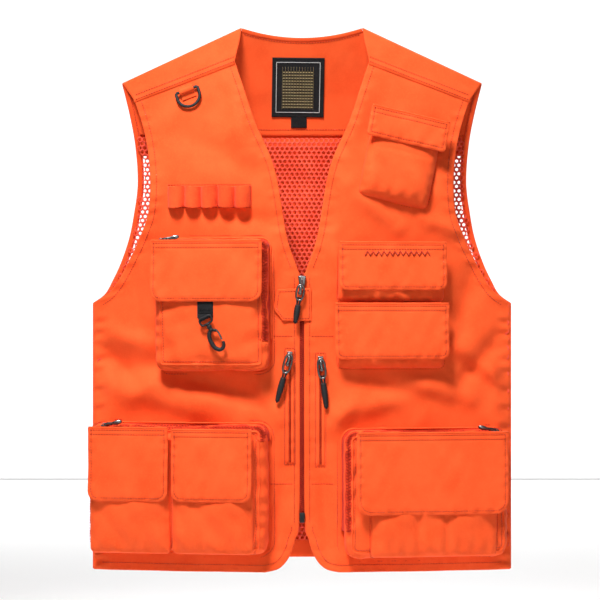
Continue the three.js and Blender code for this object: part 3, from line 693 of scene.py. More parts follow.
def make_seam_tape():
    """The side and shoulder seams, closed by folded tape where front and back meet."""
    for side, sign in (("right", -1), ("left", 1)):
        seams = [
            ("side", [(262.3, z) for z in np.linspace(1, 335, 90)]),
            ("shoulder", [(x, float(shoulder_line(x))) for x in np.linspace(NECK_X, TIP_X, 50)]),
        ]
        for name, line in seams:
            path = []
            for x, z in line:
                rear = back(x * sign, z, 1.6)
                fore = front(x * sign, z, 0.7)
                path.append((rear + fore) / 2)
            make(f"{side}_{name}_seam", *tube(path, 1.7, 10, squash=(0.75, 1.05)), SHELL)


# ---- places on the front -------------------------------------------------------------------
JOINTS = {joint["name"]: joint for joint in frame["joints"]}


class Place:
    """A flat local frame on the front: x to the right, n out from the cloth, z up, in mm."""

    def __init__(self, joint, node):
        hinge = JOINTS[joint]
        self.right = -Vector(hinge["axis"]).normalized()
        mesh = frame["nodes"][node].data
        facing_out = [p for p in mesh.polygons if p.normal.y < -0.5]
        self.out = max(facing_out, key=lambda p: p.area).normal.normalized()
        self.up = self.right.cross(-self.out)
        self.origin = Vector(hinge["pos_m"]) / MM + Vector((0, 0, NECKLINE_Z))
        self.axes = np.array([self.right, self.out, self.up])
        self.ground = None
        self.under = "left_front_cloth" if self.origin.x > 0 else "right_front_cloth"

    def at(self, x, n, z):
        x, n, z = np.broadcast_arrays(*(np.asarray(v, float) for v in (x, n, z)))
        return np.array(self.origin) + np.stack([x, n, z], axis=-1) @ self.axes

    def size(self, node):
        """Lowest and highest local corner of a CAD node."""
        v = np.array([tuple(p.co) for p in frame["nodes"][node].data.vertices]) / MM
        v[:, 2] += NECKLINE_Z
        local = (v - np.array(self.origin)) @ self.axes.T
        return local.min(axis=0), local.max(axis=0)

    def shell(self, x, z):
        """How far out the vest's own cloth lies at local x, z."""
        base = self.at(x, 0.0, z)
        surface = front(base[..., 0], base[..., 2], 1.7)
        return (surface[..., 1] - base[..., 1]) / self.out.y


def outline_inset(z, z0, radius):
    """How far the side of a rounded outline is drawn in at height z."""
    h = np.clip(radius - (z - z0), 0, radius)
    return radius - np.sqrt(np.maximum(radius**2 - h**2, 0))


def rounded_rows(z0, z1, radius, rows):
    """Heights from z0 to z1, close together round the bottom corners."""
    corner = z0 + radius * (1 - np.cos(np.linspace(0, math.pi / 2, 9)))
    return np.concatenate([corner, np.linspace(z0 + radius, z1, rows)[1:]])


def bulge(t, power):
    return np.sqrt(np.clip(1 - np.abs(2 * t - 1) ** power, 0, 1))


def edge_packed(count):
    return 0.5 - 0.5 * np.cos(np.linspace(0, math.pi, count))


# ---- open pockets under flaps --------------------------------------------------------------
def edge_field(x, z, low, high, radius):
    """Distance in from a rounded-bottom outline, and how far along it a point lies."""
    side = np.minimum(x - low[0], high[0] - x)
    foot = z - low[2]
    cx, cz = radius - side, radius - foot
    corner = (cx > 0) & (cz > 0)
    d = np.where(corner, radius - np.hypot(cx, cz), np.minimum(side, foot))
    return d, np.where(side < foot, z, x)


def quilt(d, along, period, groove=3.2, depth=0.5, amount=0.45, seed=0.0):
    """The dip of a sewn line near an edge, and the puckers that its stitches pull."""
    line = -depth * np.exp(-(((d - groove) / 0.9) ** 2))
    tug = np.sin(along / period + seed + 1.3 * np.sin(along / 13.0 + seed))
    return line + amount * tug * np.exp(-(((d - groove) / 4.0) ** 2))


def bag(node, place, radius=8.0, on_shell=True, pleat=None, seed=0.0, patch_drop=24):
    """A sewn-on pocket, crowned in front, gathered at its bottom corners and open on top."""
    low, high = place.size(node)
    u = edge_packed(60)[None, :]
    z = rounded_rows(low[2], high[2], radius, 34)[:, None]
    inset = outline_inset(z, low[2], radius)
    x = low[0] + inset + (high[0] - low[0] - 2 * inset) * u
    v = (z - low[2]) / (high[2] - low[2])
    belly = 1 + 0.12 * np.sin(math.pi * np.clip(1 - v, 0, 1)) * np.sin(math.pi * u)
    across = bulge(u, 6)
    down = np.where(v < 0.5, bulge(v, 6), 1.0)
    base = place.shell(x, z) + 0.3 if on_shell else np.full(x.shape, low[1] + 0.2)
    crown = high[1] - 0.2
    mouth = 1 - 0.15 * np.clip((v - 0.75) / 0.25, 0, 1) * (1 - np.abs(2 * u - 1) ** 2)
    n = base + (crown - base) * across * down * mouth * np.where(v < 0.6, belly, 1)
    under = np.clip((0.62 - v) / 0.2, 0, 1)
    wave = 2.2 * np.sin(x / 14 + seed + 0.9 * np.sin(z / 11)) * np.sin(z / 15 + 2 * seed)
    wave = wave + 0.9 * np.sin(x / 5.3 + z / 7 + seed)
    gather_in = 1.1 * np.sin(x / 2.8 + seed) * np.exp(-(((v - 0.08) / 0.08) ** 2))
    d, along = edge_field(x, z, low, high, radius)
    n = n + (wave * under + gather_in) * across * down + quilt(d, along, 2.6, 4.0, 0.5, 0.6, seed)
    if pleat:
        a, b = pleat
        inside = 1 / (1 + np.exp(-(x - a) / 0.45)) - 1 / (1 + np.exp(-(x - b) / 0.45))
        beside = np.exp(-(((x - a + 4) / 3.5) ** 2)) + np.exp(-(((x - b - 4) / 3.5) ** 2))
        n = n + (2.4 * inside - 1.6 * beside) * across * down
    piece = make(f"{node}_cloth", *slab(place.at(x, n, z), place.at(x, n - 1.1, z)), SHELL, replaces=[node])
    columns = u[0]

    def surface(a, b, out):
        share = (a - low[0]) / (high[0] - low[0])
        column = int(np.argmin(np.abs(columns - share)))
        return place.at(a, np.interp(b, z[:, 0], n[:, column]) + out, b)

    hem = [np.array([(a, high[2] - d) for a in np.linspace(low[0] + 6, high[0] - 6, 40)]) for d in (4, 10)]
    stitch(f"{node}_hem_stitching", hem, surface, 0.1)
    m = 1.4
    outline = [(low[0] - m, high[2] - 2), (low[0] - m, low[2] + radius),
        (low[0] + radius * 0.3 - m, low[2] + radius * 0.3 - m)]
    outline += [(low[0] + radius, low[2] - m), (high[0] - radius, low[2] - m)]
    outline += [(high[0] - radius * 0.3 + m, low[2] + radius * 0.3 - m), (high[0] + m, low[2] + radius),
        (high[0] + m, high[2] - 2)]
    ground = place.ground if not on_shell else (lambda a, b, out: place.at(a, place.shell(a, b) + out, b))
    stitch(f"{node}_edge_stitching", [np.array(outline)], ground, 0.15)
    rim = [ground(a, b, 0.0) for a, b in resample(np.array(outline), 120)]
    make(f"{node}_edge_seam", *tube(rim, 0.7, 8), SHELL)
    velcro(f"{node}_loop_patch", (low[0] + high[0]) / 2, high[2] - patch_drop, surface, 0.35, "shell")
    return piece


def velcro(name, x, z, surface, out, body, width=36.0, height=13.0):
    """A fuzzy hook-and-loop patch lying on a surface."""
    xs = np.linspace(x - width / 2, x + width / 2, 40)
    zs = np.linspace(z - height / 2, z + height / 2, 16)
    top = [[surface(a, b, out + 0.22 * noise.noise(Vector((a / 1.1, b / 1.1, 0)))) for a in xs] for b in zs]
    low = [[surface(a, b, out - 0.4) for a in xs] for b in zs]
    return make(name, *slab(np.array(top), np.array(low), 0.2), TAPE, body)


def flap(node, place, joint, radius, lift=2.6, seed=0.0):
    """A flap with rounded bottom corners, standing a little proud, stitched round its edge."""
    body = JOINTS[joint]["child"]
    low, high = place.size(node)
    u = edge_packed(64)[None, :]
    z = np.concatenate([rounded_rows(low[2], high[2] - 12, radius, 34),
        np.linspace(high[2] - 10, high[2], 8)])[:, None]
    inset = outline_inset(z, low[2], radius)
    x = low[0] + inset + (high[0] - low[0] - 2 * inset) * u
    drop = (high[2] - z) / (high[2] - low[2])
    calm = np.clip(drop * 6, 0, 1)
    ripple = 1.2 * np.sin(x / 21 + seed + z / 30) * drop + 0.7 * np.sin(x / 9.3 + z / 13 + 2 * seed)
    ripple = ripple + 0.35 * np.sin(x / 4.1 - z / 7 + seed) * np.sin(x / 27 + seed)
    d, along = edge_field(x, z, low, high, radius)
    curl = -2.0 * np.exp(-d / 2.2) * calm
    n = 0.2 + lift * drop**1.3 + 1.3 * np.sin(math.pi * u) * np.sin(math.pi * np.clip(drop, 0,
        1)) + ripple * calm
    n = n + curl + quilt(d, along, 2.3, 4.4, 0.55, 0.6, seed) * calm
    for depth in (2.4, 8.0):
        n = n - 0.4 * np.exp(-(((high[2] - depth - z) / 0.9) ** 2))
    piece = make(f"{node}_cloth", *slab(place.at(x, n, z), place.at(x, n - 1.7, z), 0.7), SHELL, body, [node])
    columns = u[0]

    def surface(a, b, out):
        share = np.clip((a - low[0]) / (high[0] - low[0]), 0, 1)
        column = int(np.argmin(np.abs(columns - share)))
        return place.at(a, np.interp(b, z[:, 0], n[:, column]) + out, b)

    def ring(m):
        r = max(radius - m, 1.0)
        turn = np.linspace(0, math.pi / 2, 8)
        left = [(low[0] + m + r - r * math.sin(a), low[2] + m + r - r * math.cos(a)) for a in turn[::-1]]
        right = [(high[0] - m - r + r * math.sin(a), low[2] + m + r - r * math.cos(a)) for a in turn]
        return np.array([(low[0] + m, high[2] - 2)] + left + right + [(high[0] - m, high[2] - 2)])

    lines = [ring(4.4)] + [np.array([(low[0] + 3, high[2] - d), (high[0] - 3, high[2] - d)]) for d in (2.4,
        8.0)]
    stitch(f"{node}_stitching", [resample(line, 90) for line in lines], surface, 0.1, body)
    patch_lift = 17 if high[2] - low[2] > 45 else 14
    velcro(f"{node}_hook_patch", (low[0] + high[0]) / 2, low[2] + patch_lift, surface, -1.8, body)
    place.top = surface
    fold = [place.at(a, -0.6, high[2] + 0.5) for a in np.linspace(low[0] + 0.6, high[0] - 0.6, 30)]
    make(f"{node}_seam_fold", *tube(fold, 1.3, 10), SHELL)
    return piece


# ---- closed, padded compartments -----------------------------------------------------------
def apply_modifier(piece, kind, **settings):
    """Adds a modifier with its settings and applies it."""
    made = piece.modifiers.new(kind.lower(), kind)
    for key, value in settings.items():
        setattr(made, key, value)
    bpy.context.view_layer.objects.active = piece
    bpy.ops.object.modifier_apply(modifier=made.name)


def coordinates(piece):
    return np.array([tuple(v.co) for v in piece.data.vertices])


def inflate(node, place, seed, cap=6.0, voxel=4.0):
    """A zipped pocket: the CAD solid remeshed, blown up as cloth and let down to soft wrinkles."""
    piece = bpy.data.objects.new(f"{node}_cloth", frame["nodes"][node].data.copy())
    bpy.context.scene.collection.objects.link(piece)
    for other in bpy.context.selected_objects:
        other.select_set(False)
    piece.select_set(True)
    apply_modifier(piece, "REMESH", mode="VOXEL", voxel_size=voxel * MM)
    start = coordinates(piece)
    cloth = piece.modifiers.new("cloth", "CLOTH")
    cloth.settings.use_pressure = True
    cloth.settings.uniform_pressure_force = 3.5
    cloth.settings.effector_weights.gravity = 0
    cloth.settings.quality = 4
    cloth.settings.mass = 0.3
    cloth.settings.tension_stiffness = 30
    cloth.settings.compression_stiffness = 30
    cloth.settings.bending_stiffness = 0.6
    cloth.point_cache.frame_start = 1
    cloth.point_cache.frame_end = 20
    for step in range(1, 21):
        bpy.context.scene.frame_set(step)
    bpy.context.view_layer.objects.active = piece
    bpy.ops.object.modifier_apply(modifier="cloth")
    bpy.context.scene.frame_set(1)
    move = coordinates(piece) - start
    far = np.linalg.norm(move, axis=1, keepdims=True)
    move *= np.minimum(1, cap * MM / np.maximum(far, 1e-9))
    for v, p in zip(piece.data.vertices, start + move * 0.9):
        v.co = p
    apply_modifier(piece, "SMOOTH", factor=0.5, iterations=6)
    apply_modifier(piece, "SUBSURF", levels=1, render_levels=1)
    fine = coordinates(piece)
    local = (fine / MM + [0, 0, NECKLINE_Z] - np.array(place.origin)) @ place.axes.T
    low, high = place.size(node)
    x, z = local[:, 0], local[:, 2]
    rise = np.clip((local[:, 1] - low[1] - 8) / 10, 0, 1)
    wave = 2.4 * np.sin(x / 15 + seed + 0.8 * np.sin(z / 12)) * np.sin(z / 21 + 1.3 * seed)
    wave += 1.2 * np.sin(x / 6.1 + z / 11 + seed) + 0.8 * np.sin(z / 4.3 - x / 13 + seed)
    side = np.minimum(np.minimum(x - low[0], high[0] - x), np.minimum(z - low[2], high[2] - z))
    along = np.where(np.minimum(x - low[0], high[0] - x) < np.minimum(z - low[2], high[2] - z), z, x)
    gusset = 1.5 * np.sin(along / 3.1 + seed + 1.6 * np.sin(along / 17)) * np.exp(-(((side - 3) / 8) ** 2))
    lift = (wave * np.clip(side / 12, 0, 1) + gusset) * rise
    top = high[1] + 0.6
    over_top = np.maximum(local[:, 1] + lift - top, 0)
    lift = lift - over_top + 1.6 * np.tanh(over_top / 3.0)
    placed = fine + np.array(place.out) * (lift * MM)[:, None]
    for v, p in zip(piece.data.vertices, placed):
        v.co = p
    piece.data.shade_smooth()
    dress(piece, SHELL, replaces=[node])
    return piece


def over(piece, place, reach=80.0):
    """A surface for stitches: straight in from outside onto a piece, in a place's local x, z."""
    tree = BVHTree.FromObject(piece, bpy.context.evaluated_depsgraph_get())

    def surface(a, b, out):
        start = Vector(place.at(a, reach, b)) - Vector((0, 0, NECKLINE_Z))
        hit = tree.ray_cast(start * MM, -place.out)[0]
        if hit is None:
            return place.at(a, place.shell(a, b) + 3.0 + out, b)
        return np.array(hit / MM + Vector((0, 0, NECKLINE_Z)) + place.out * out)

    return surface


def outline_ring(low, high, inset, radius, count=200):
    """A rounded rectangle inside a box's outline, as (x, z)."""
    r = max(radius - inset, 2)
    x0, x1, z0, z1 = low[0] + inset, high[0] - inset, low[2] + inset, high[2] - inset
    turn = np.linspace(0, math.pi / 2, 8)
    line = [(x1 - r + r * math.sin(a), z0 + r - r * math.cos(a)) for a in turn]
    line += [(x1 - r + r * math.cos(a), z1 - r + r * math.sin(a)) for a in turn]
    line += [(x0 + r - r * math.sin(a), z1 - r + r * math.cos(a)) for a in turn]
    line += [(x0 + r - r * math.cos(a), z0 + r - r * math.sin(a)) for a in turn]
    return resample(np.array(line + line[:1]), count)


def pocket_trim(node, piece, place, radius):
    """The stitched edge of a compartment's face, and the ridge of the seam outside it."""
    low, high = place.size(node)
    surface = over(piece, place)
    ring = outline_ring(low, high, 9.0, radius, 170)
    path = [surface(a, b, 0.25) for a, b in ring[:-1]]
    make(f"{node}_face_seam", *tube(path, 1.25, 8, closed=True), SHELL)
    stitch(f"{node}_stitching", [outline_ring(low, high, 12.5, radius)], surface, 0.15)
    ground = lambda a, b, out: place.at(a, place.shell(a, b) + out, b)
    collar = [ground(a, b, -0.1) for a, b in outline_ring(low, high, -0.6, radius + 1, 170)[:-1]]
    make(f"{node}_base_seam", *tube(collar, 0.9, 8, closed=True), SHELL)
    stitch(f"{node}_base_stitching", [outline_ring(low, high, -3.6, radius + 3)], ground, 0.2)
    place.ground = surface
    place.under = piece.name


def zip_path(node, pocket, place, side, radius):
    """The line of a pocket zip in local (x, z), and its outward normals."""
    low, high = place.size(pocket)
    band_low, band_high = place.size(node)
    corner = high[0] if side > 0 else low[0]
    far = band_low[0] if side > 0 else band_high[0]
    turn = np.linspace(0, math.pi / 2, 14)
    line = [(far, high[2])]
    line += [(corner - side * radius + side * radius * math.sin(a),
        high[2] - radius + radius * math.cos(a)) for a in turn]
    line.append((corner, band_low[2]))
    line = resample(np.array(line), 200)
    return line, normals(line, side)


def pocket_zip(node, pocket, piece, place, side, radius):
    """Tape over the soft shoulder of a compartment, with a coil of teeth down its middle."""
    line, away = zip_path(node, pocket, place, side, radius)
    surface = over(piece, place)
    insets = np.linspace(0.2, 9.8, 11)
    grid = np.array([[surface(*(p - a * inset), 0.0) for inset in insets] for p, a in zip(line, away)])
    out = np.array(place.out)
    depth = (grid - np.array(place.origin)) @ out
    soft = np.array([np.convolve(np.pad(row, 9, "edge"), np.ones(19) / 19, "valid") for row in depth.T]).T
    soft = soft + np.clip(depth - soft, -0.5, 1.0)
    grid = grid + (soft - depth)[..., None] * out
    make(f"{node}_band", *slab(grid[:, 1:-1] + out * 1.3, grid[:, 1:-1] - out * 0.8, 0.3), TAPE,
        replaces=[node])
    seam = [tube(list(grid[::2, column] + out * 1.1), 1.0, 8) for column in (0, -1)]
    make(f"{node}_lips", *gather(seam), SHELL)
    steps = np.concatenate([[0], np.cumsum(np.linalg.norm(np.diff(line, axis=0), axis=1))])
    parts = []
    for i, at in enumerate(np.linspace(1, steps[-1] - 1, int(steps[-1] / 1.9))):
        row = np.array([[np.interp(at, steps, grid[:, c, k]) for k in range(3)] for c in range(len(insets))])
        middle = 5.0 + (0.8 if i % 2 else -0.8)
        path = []
        for d, h in ((-1.5, 1.2), (0, 2.3), (1.5, 1.2)):
            path.append(np.array([np.interp(middle + d, insets, row[:, k]) for k in range(3)]) + out * h)
        parts.append(tube(path, 0.55, 6, up=place.out))
    make(f"{node}_coil", *gather(parts), TEETH)
    return surface


# ---- metal and plastic parts ---------------------------------------------------------------
def block(place, x, n, z, size, bevel=0.7, taper=1.0):
    """Points and faces of a bevelled block in a place's frame; taper narrows its low-z end."""
    bm = bmesh.new()
    bmesh.ops.create_cube(bm, size=1.0)
    for v in bm.verts:
        narrow = taper if v.co.z < 0 else 1.0
        v.co = Vector((v.co.x * size[0] * narrow, v.co.y * size[1], v.co.z * size[2]))
    bmesh.ops.bevel(bm, geom=bm.edges[:], offset=bevel, segments=3, affect="EDGES", profile=0.6)
    points = [place.at(x + v.co.x, n + v.co.y, z + v.co.z) for v in bm.verts]
    bm.verts.index_update()
    faces = [tuple(v.index for v in f.verts) for f in bm.faces]
    bm.free()
    return np.array(points), faces


def loop_path(place, x, n, z, width, height, turn=0.0, count=40, power=2.6):
    """A closed rounded loop lying in the place's plane."""
    path = []
    for a in np.linspace(0, 2 * math.pi, count, endpoint=False):
        c, s = math.cos(a), math.sin(a)
        px = math.copysign(abs(c) ** (2 / power), c) * width / 2
        pz = math.copysign(abs(s) ** (2 / power), s) * height / 2
        path.append(place.at(x + px * math.cos(turn) - pz * math.sin(turn), n,
            z + px * math.sin(turn) + pz * math.cos(turn)))
    return path


def pocket_slider(node, place, surface, reach):
    """A nickel slider on a pocket zip, with its tab lying along the chain."""
    low, high = place.size(node)
    x = low[0] + 5 if reach > 0 else high[0] - 5
    run = range(0, 100, 10)
    z = low[2] - 7.0
    heights = [Vector(surface(x + reach * step, z, 0.0)) - place.origin for step in run]
    n = max(float(h.dot(place.out)) for h in heights) + 1.4
    parts = [block(place, x, n + 0.6, z - 0.6, (9.4, 6.4, 3.6), 0.9)]
    parts.append(tube([place.at(x + dx, n + 0.6, z + dz) for dx,
        dz in ((-3.2, 1), (-2.2, 2.6), (0, 3.1), (2.2, 2.6), (3.2, 1))], 0.75, 8))
    make(f"{node}_body", *gather(parts), NICKEL, node, [node])
    tab = [place.at(x + reach * t, n + 3.4 + 1.2 * math.sin(3 * t / 22),
        z + 1.0 + 0.2 * t) for t in np.linspace(0, 23, 14)]
    widths = [1.5, 1.9, 2.3, 2.4, 2.2, 2.0, 1.9, 2.0, 2.4, 2.7, 2.8, 2.7, 2.2, 1.2]
    make(f"{node}_tab", *tube(tab, widths, 10, squash=(1.0, 0.42), up=place.out), NICKEL, node)


class Spot(Place):
    """A place given by its own axes."""

    def __init__(self, origin, right, out):
        self.origin, self.right, self.out = Vector(origin), Vector(right).normalized(), Vector(out).normalized()
        self.up = self.right.cross(-self.out)
        self.axes = np.array([self.right, self.out, self.up])


def spot_at(joint, node=None):
    """The frame of a hanging piece, from its hinge and its flat CAD face."""
    return Place(joint, node or JOINTS[joint]["child"])


def slider_and_pull(slider, puller, swing, wide):
    """An upright zip's slider, its ring and the moulded black pull that hangs from it."""
    ring = spot_at(swing)
    face = Spot(ring.origin, Vector((1, 0, 0)), Vector((0, -1, 0)))
    low, high = face.size(slider)
    x, z = (low[0] + high[0]) / 2, (low[2] + high[2]) / 2
    width, height, depth = high[0] - low[0], high[2] - low[2], high[1] - low[1]
    parts = [block(face, x, low[1] + depth * 0.32, z, (width, depth * 0.6, height), 0.9, 0.62)]
    arch = [(-0.5, 0.45), (-0.42, 0.8), (0, 0.98), (0.42, 0.8), (0.5, 0.45)]
    parts.append(tube([face.at(x, low[1] + depth * h, z + height * 0.42 * t * 1.6) for t, h in arch], 1.0,
        8, up=Vector((1, 0, 0))))
    parts.append(block(face, x, low[1] + depth * 0.62, z, (width * 0.5, 0.8, height * 0.8), 0.3))
    make(f"{slider}_body", *gather(parts), NICKEL, slider, [slider])
    low, high = ring.size(puller)
    n = (low[1] + high[1]) / 2
    ring_height = 19.0 if wide else 24.0
    loop = loop_path(ring, 0.0, n, -ring_height / 2 + 0.6, 9.0, ring_height)
    tab = [ring.at(0, n + 0.4, b) for b in np.linspace(-1.0, -ring_height * 0.62, 12)]
    tab_width = [1.2, 2.0, 2.3, 2.3, 2.0, 1.8, 1.8, 2.0, 2.4, 2.5, 2.2, 1.0]
    parts = [tube(loop, 1.35, 8, closed=True, up=ring.out),
        tube(tab, tab_width, 10, squash=(1, 0.45), up=ring.out)]
    make(f"{puller}_ring", *gather(parts), NICKEL, puller, [puller])
    top = -ring_height + 2.2
    strands = []
    for side in (-1, 1):
        line = [(0, top + 1.3), (side * 1.6, top + 0.6), (side * 2.0, top - 2), (side * 1.5, top - 6),
            (side * 1.1, top - 11)]
        path = [ring.at(a, n, b) for a, b in smooth(line, 6)]
        strands.append(tube(path, 1.15, 8, up=ring.out))
    make(f"{puller}_cord", *gather(strands), CORD, puller)
    bottom = low[2]
    grip = [ring.at(0, n + 0.1, b) for b in np.linspace(top - 8, bottom, 22)]
    share = np.linspace(0, 1, 22)
    radius = (2.4 + 1.5 * np.sin(math.pi * np.clip(share * 0.62 + 0.3, 0,
        1)) ** 2 + 0.25 * np.sin(share * 44)) * np.clip((1 - share) * 9 + 0.25, 0, 1)
    make(f"{puller}_grip", *tube(grip, list(radius), 12, squash=(1, 0.72), up=ring.out), PLASTIC, puller)


# ---- the sewn sections ---------------------------------------------------------------------
def make_camera_pocket():
    place = Place("camera_flap_lift", "camera_pocket_flap")
    piece = inflate("camera_pocket", place, 0.4)
    pocket_trim("camera_pocket", piece, place, 12)
    shoulder = pocket_zip("camera_pocket_zip", "camera_pocket", piece, place, 1, 12)
    pocket_slider("camera_pocket_slider", place, shoulder, 1)
    flap("camera_pocket_flap", place, "camera_flap_lift", 14, 3.4, seed=0.3)
    make_hook(place)


def make_hook(place):
    low, high = place.size("hook_strap")
    x0, x1 = low[0], high[0]
    xs = np.linspace(x0, x1, 18)[None, :]
    zs = np.linspace(high[2] - 46, high[2], 46)[:, None]
    rib = 0.16 * np.sin(zs * 2.2) * np.cos(xs * 3.1)
    sag = 0.5 * np.sin(math.pi * (xs - x0) / (x1 - x0))
    surface = over(bpy.data.objects["camera_pocket_cloth"], place)
    spots = [Vector(surface(a, b, 0)) - place.origin for a in (x0, x1) for b in (high[2] - 44, high[2] - 30)]
    n = max(float(p.dot(place.out)) for p in spots) + 0.4
    low_face = np.array([[surface(a, b, 0.1) for a in xs[0]] for b in zs[:, 0]])
    raised = (rib + sag + 1.1)[..., None] * np.array(place.out)
    make("hook_strap_webbing", *slab(low_face + raised, low_face, 0.3), WEBBING, replaces=["hook_strap"])
    stitch("hook_strap_stitching",
        [np.array([(x0 + 3, z), (x1 - 3, z)]) for z in (high[2] - 40, high[2] - 36)],
           lambda a, b, out: surface(a, b, 1.6 + out), 0.1, material=CORD)
    eye = Place("hook_swing", "hook_eye")
    fold = []
    reach = (eye.origin - place.origin).dot(place.out)
    lift = (eye.origin - place.origin).dot(place.up)
    start_z = high[2] - 44
    for t in np.linspace(0, 1, 12):
        fold.append((n + 0.6 + (reach - n + 2.2) * t**1.5, start_z + (lift - start_z) * t))
    for a in np.linspace(0.2, math.pi, 9):
        fold.append((reach + 2.4 * math.cos(a), lift - 2.4 * math.sin(a)))
    fold += [(reach - 2.4 + (n - reach + 2.0) * t,
        lift + (start_z + 3 - lift) * t) for t in np.linspace(0.15, 1, 8)]
    centre = (eye.origin - place.origin).dot(place.right)
    strip = []
    middle = (x0 + x1) / 2
    for i, (out, z) in enumerate(fold):
        near = min(i, len(fold) - 1 - i) / (len(fold) / 2)
        half = 10 - 4.2 * min(1, near * 1.6)
        x = middle + (centre - middle) * min(1, near * 1.6)
        tilt = 0.5 * min(1, near * 1.6)
        strip.append([place.at(x + half * s, out, z + half * s * tilt) for s in np.linspace(-1, 1, 12)])
    strip = np.array(strip)
    drift = np.gradient(strip, axis=0)
    normal = np.cross(drift, np.gradient(strip, axis=1))
    normal /= np.maximum(np.linalg.norm(normal, axis=-1, keepdims=True), 1e-9)
    make("hook_strap_loop", *slab(strip + normal * 0.55, strip - normal * 0.55, 0.25), WEBBING)

    loop = loop_path(eye, 0, 0, -3.9, 15.6, 9.0, power=4)
    barrel = [eye.at(0, 0, z) for z in (-8.2, -9.0, -10.0, -10.6)]
    make("hook_eye_ring",
        *gather([tube(loop, 1.25, 10, closed=True, up=eye.out), tube(barrel, [2.2, 3.2, 3.2, 2.2], 16)]),
        PLASTIC, "hook_eye", ["hook_eye"])
    neck = [eye.at(0, 0, z) for z in np.linspace(-10.9, -19, 8)]
    neck_radius = [2.6, 3.5, 3.4, 2.7, 2.5, 2.9, 3.3, 2.6]
    curve = [(-1.5, -18), (-5.2, -21.5), (-7.1, -27), (-7.2, -33), (-6.4, -39), (-2.8, -43.6), (1.8, -43.8),
        (5.2, -40.6), (6.1, -36.6)]
    line = smooth(curve, 6)
    path = [eye.at(a, 0, b) for a, b in line]
    share = np.linspace(0, 1, len(path))
    radius = list(2.5 - 0.7 * share + 0.5 * np.sin(math.pi * share))
    guard = [eye.at(a, 0, b) for a, b in smooth([(0.5, -18.3), (3.2, -19.2), (5.4, -21)], 6)]
    parts = [tube(neck, neck_radius, 16), tube(path, radius, 12, squash=(1, 0.85), up=eye.out),
        tube(guard, 1.9, 10, up=eye.out)]
    make("snap_hook_body", *gather(parts), PLASTIC, "snap_hook", ["snap_hook"])
    gate = [eye.at(a, 0, b) for a, b in smooth([(5.8, -20.5), (6.5, -25), (6.4, -30), (6.0, -34)], 6)]
    pin = [eye.at(5.9, d, -20.9) for d in (-2.2, -1.8, 1.8, 2.2)]
    make("hook_gate_lever",
        *gather([tube(gate, 1.15, 10, up=eye.out), tube(pin, [0.5, 0.8, 0.8, 0.5], 10)]), NICKEL,
        "hook_gate", ["hook_gate"])


def make_right_lower_pocket():
    place = Place("right_outer_flap_lift", "right_outer_patch_flap")
    piece = inflate("right_lower_pocket", place, 1.9)
    pocket_trim("right_lower_pocket", piece, place, 14)
    shoulder = pocket_zip("right_lower_zip", "right_lower_pocket", piece, place, 1, 14)
    pocket_slider("right_lower_slider", place, shoulder, 1)
    for i, which in enumerate(("outer", "inner")):
        bag(f"right_{which}_patch_pocket", place, 7, False, seed=1.2 + i)
        own = Place(f"right_{which}_flap_lift", f"right_{which}_patch_flap")
        own.under = f"right_{which}_patch_pocket_cloth"
        flap(f"right_{which}_patch_flap", own, f"right_{which}_flap_lift", 13, seed=0.9 + i)


def make_left_pockets():
    chest = Place("chest_flap_lift", "chest_flap")
    bag("chest_pocket", chest, 7, seed=0.5, patch_drop=15)
    flap("chest_flap", chest, "chest_flap_lift", 5, 2.4, 0.8)
    upper = Place("left_upper_flap_lift", "left_mid_upper_flap")
    bag("left_mid_upper_pocket", upper, 7, seed=2.2)
    flap("left_mid_upper_flap", upper, "left_upper_flap_lift", 10, 3.2, seed=1.4)
    badge(upper)
    lower = Place("left_middle_flap_lift", "left_mid_lower_flap")
    bag("left_mid_lower_pocket", lower, 7, seed=3.1)
    flap("left_mid_lower_flap", lower, "left_middle_flap_lift", 10, 3.2, seed=2.7)
    base = Place("left_lower_flap_lift", "left_patch_flap")
    piece = inflate("left_lower_pocket", base, 3.3)
    pocket_trim("left_lower_pocket", piece, base, 16)
    shoulder = pocket_zip("left_lower_zip", "left_lower_pocket", piece, base, -1, 16)
    pocket_slider("left_lower_slider", base, shoulder, -1)
    low, high = base.size("left_patch_pocket")
    middle = (low[0] + high[0]) / 2 - 4
    bag("left_patch_pocket", base, 7, False, pleat=(middle - 14, middle + 14), seed=4.4)
    flap("left_patch_flap", base, "left_lower_flap_lift", 16, seed=3.9)


def badge(place):
    """A plain embroidered zigzag where the real flap carries a word."""
    low, high = place.size("left_mid_upper_flap")
    start, end = low[0] + 32, high[0] - 22
    x = np.linspace(start, end, 25)
    z = high[2] - 13 + np.where(np.arange(25) % 2, 3.0, -3.0)
    line = np.stack([x, z], axis=1)
    parts = []
    for a, b in zip(line[:-1], line[1:]):
        m = (a + b) / 2
        path = [place.top(a[0], a[1], 0.8), place.top(m[0], m[1], 1.2), place.top(b[0], b[1], 0.8)]
        parts.append(tube(path, 0.6, 6))
    make("left_mid_upper_flap_zigzag", *gather(parts), THREAD_DARKENED_AS_SEAM_SHADE, "left_mid_upper_flap")


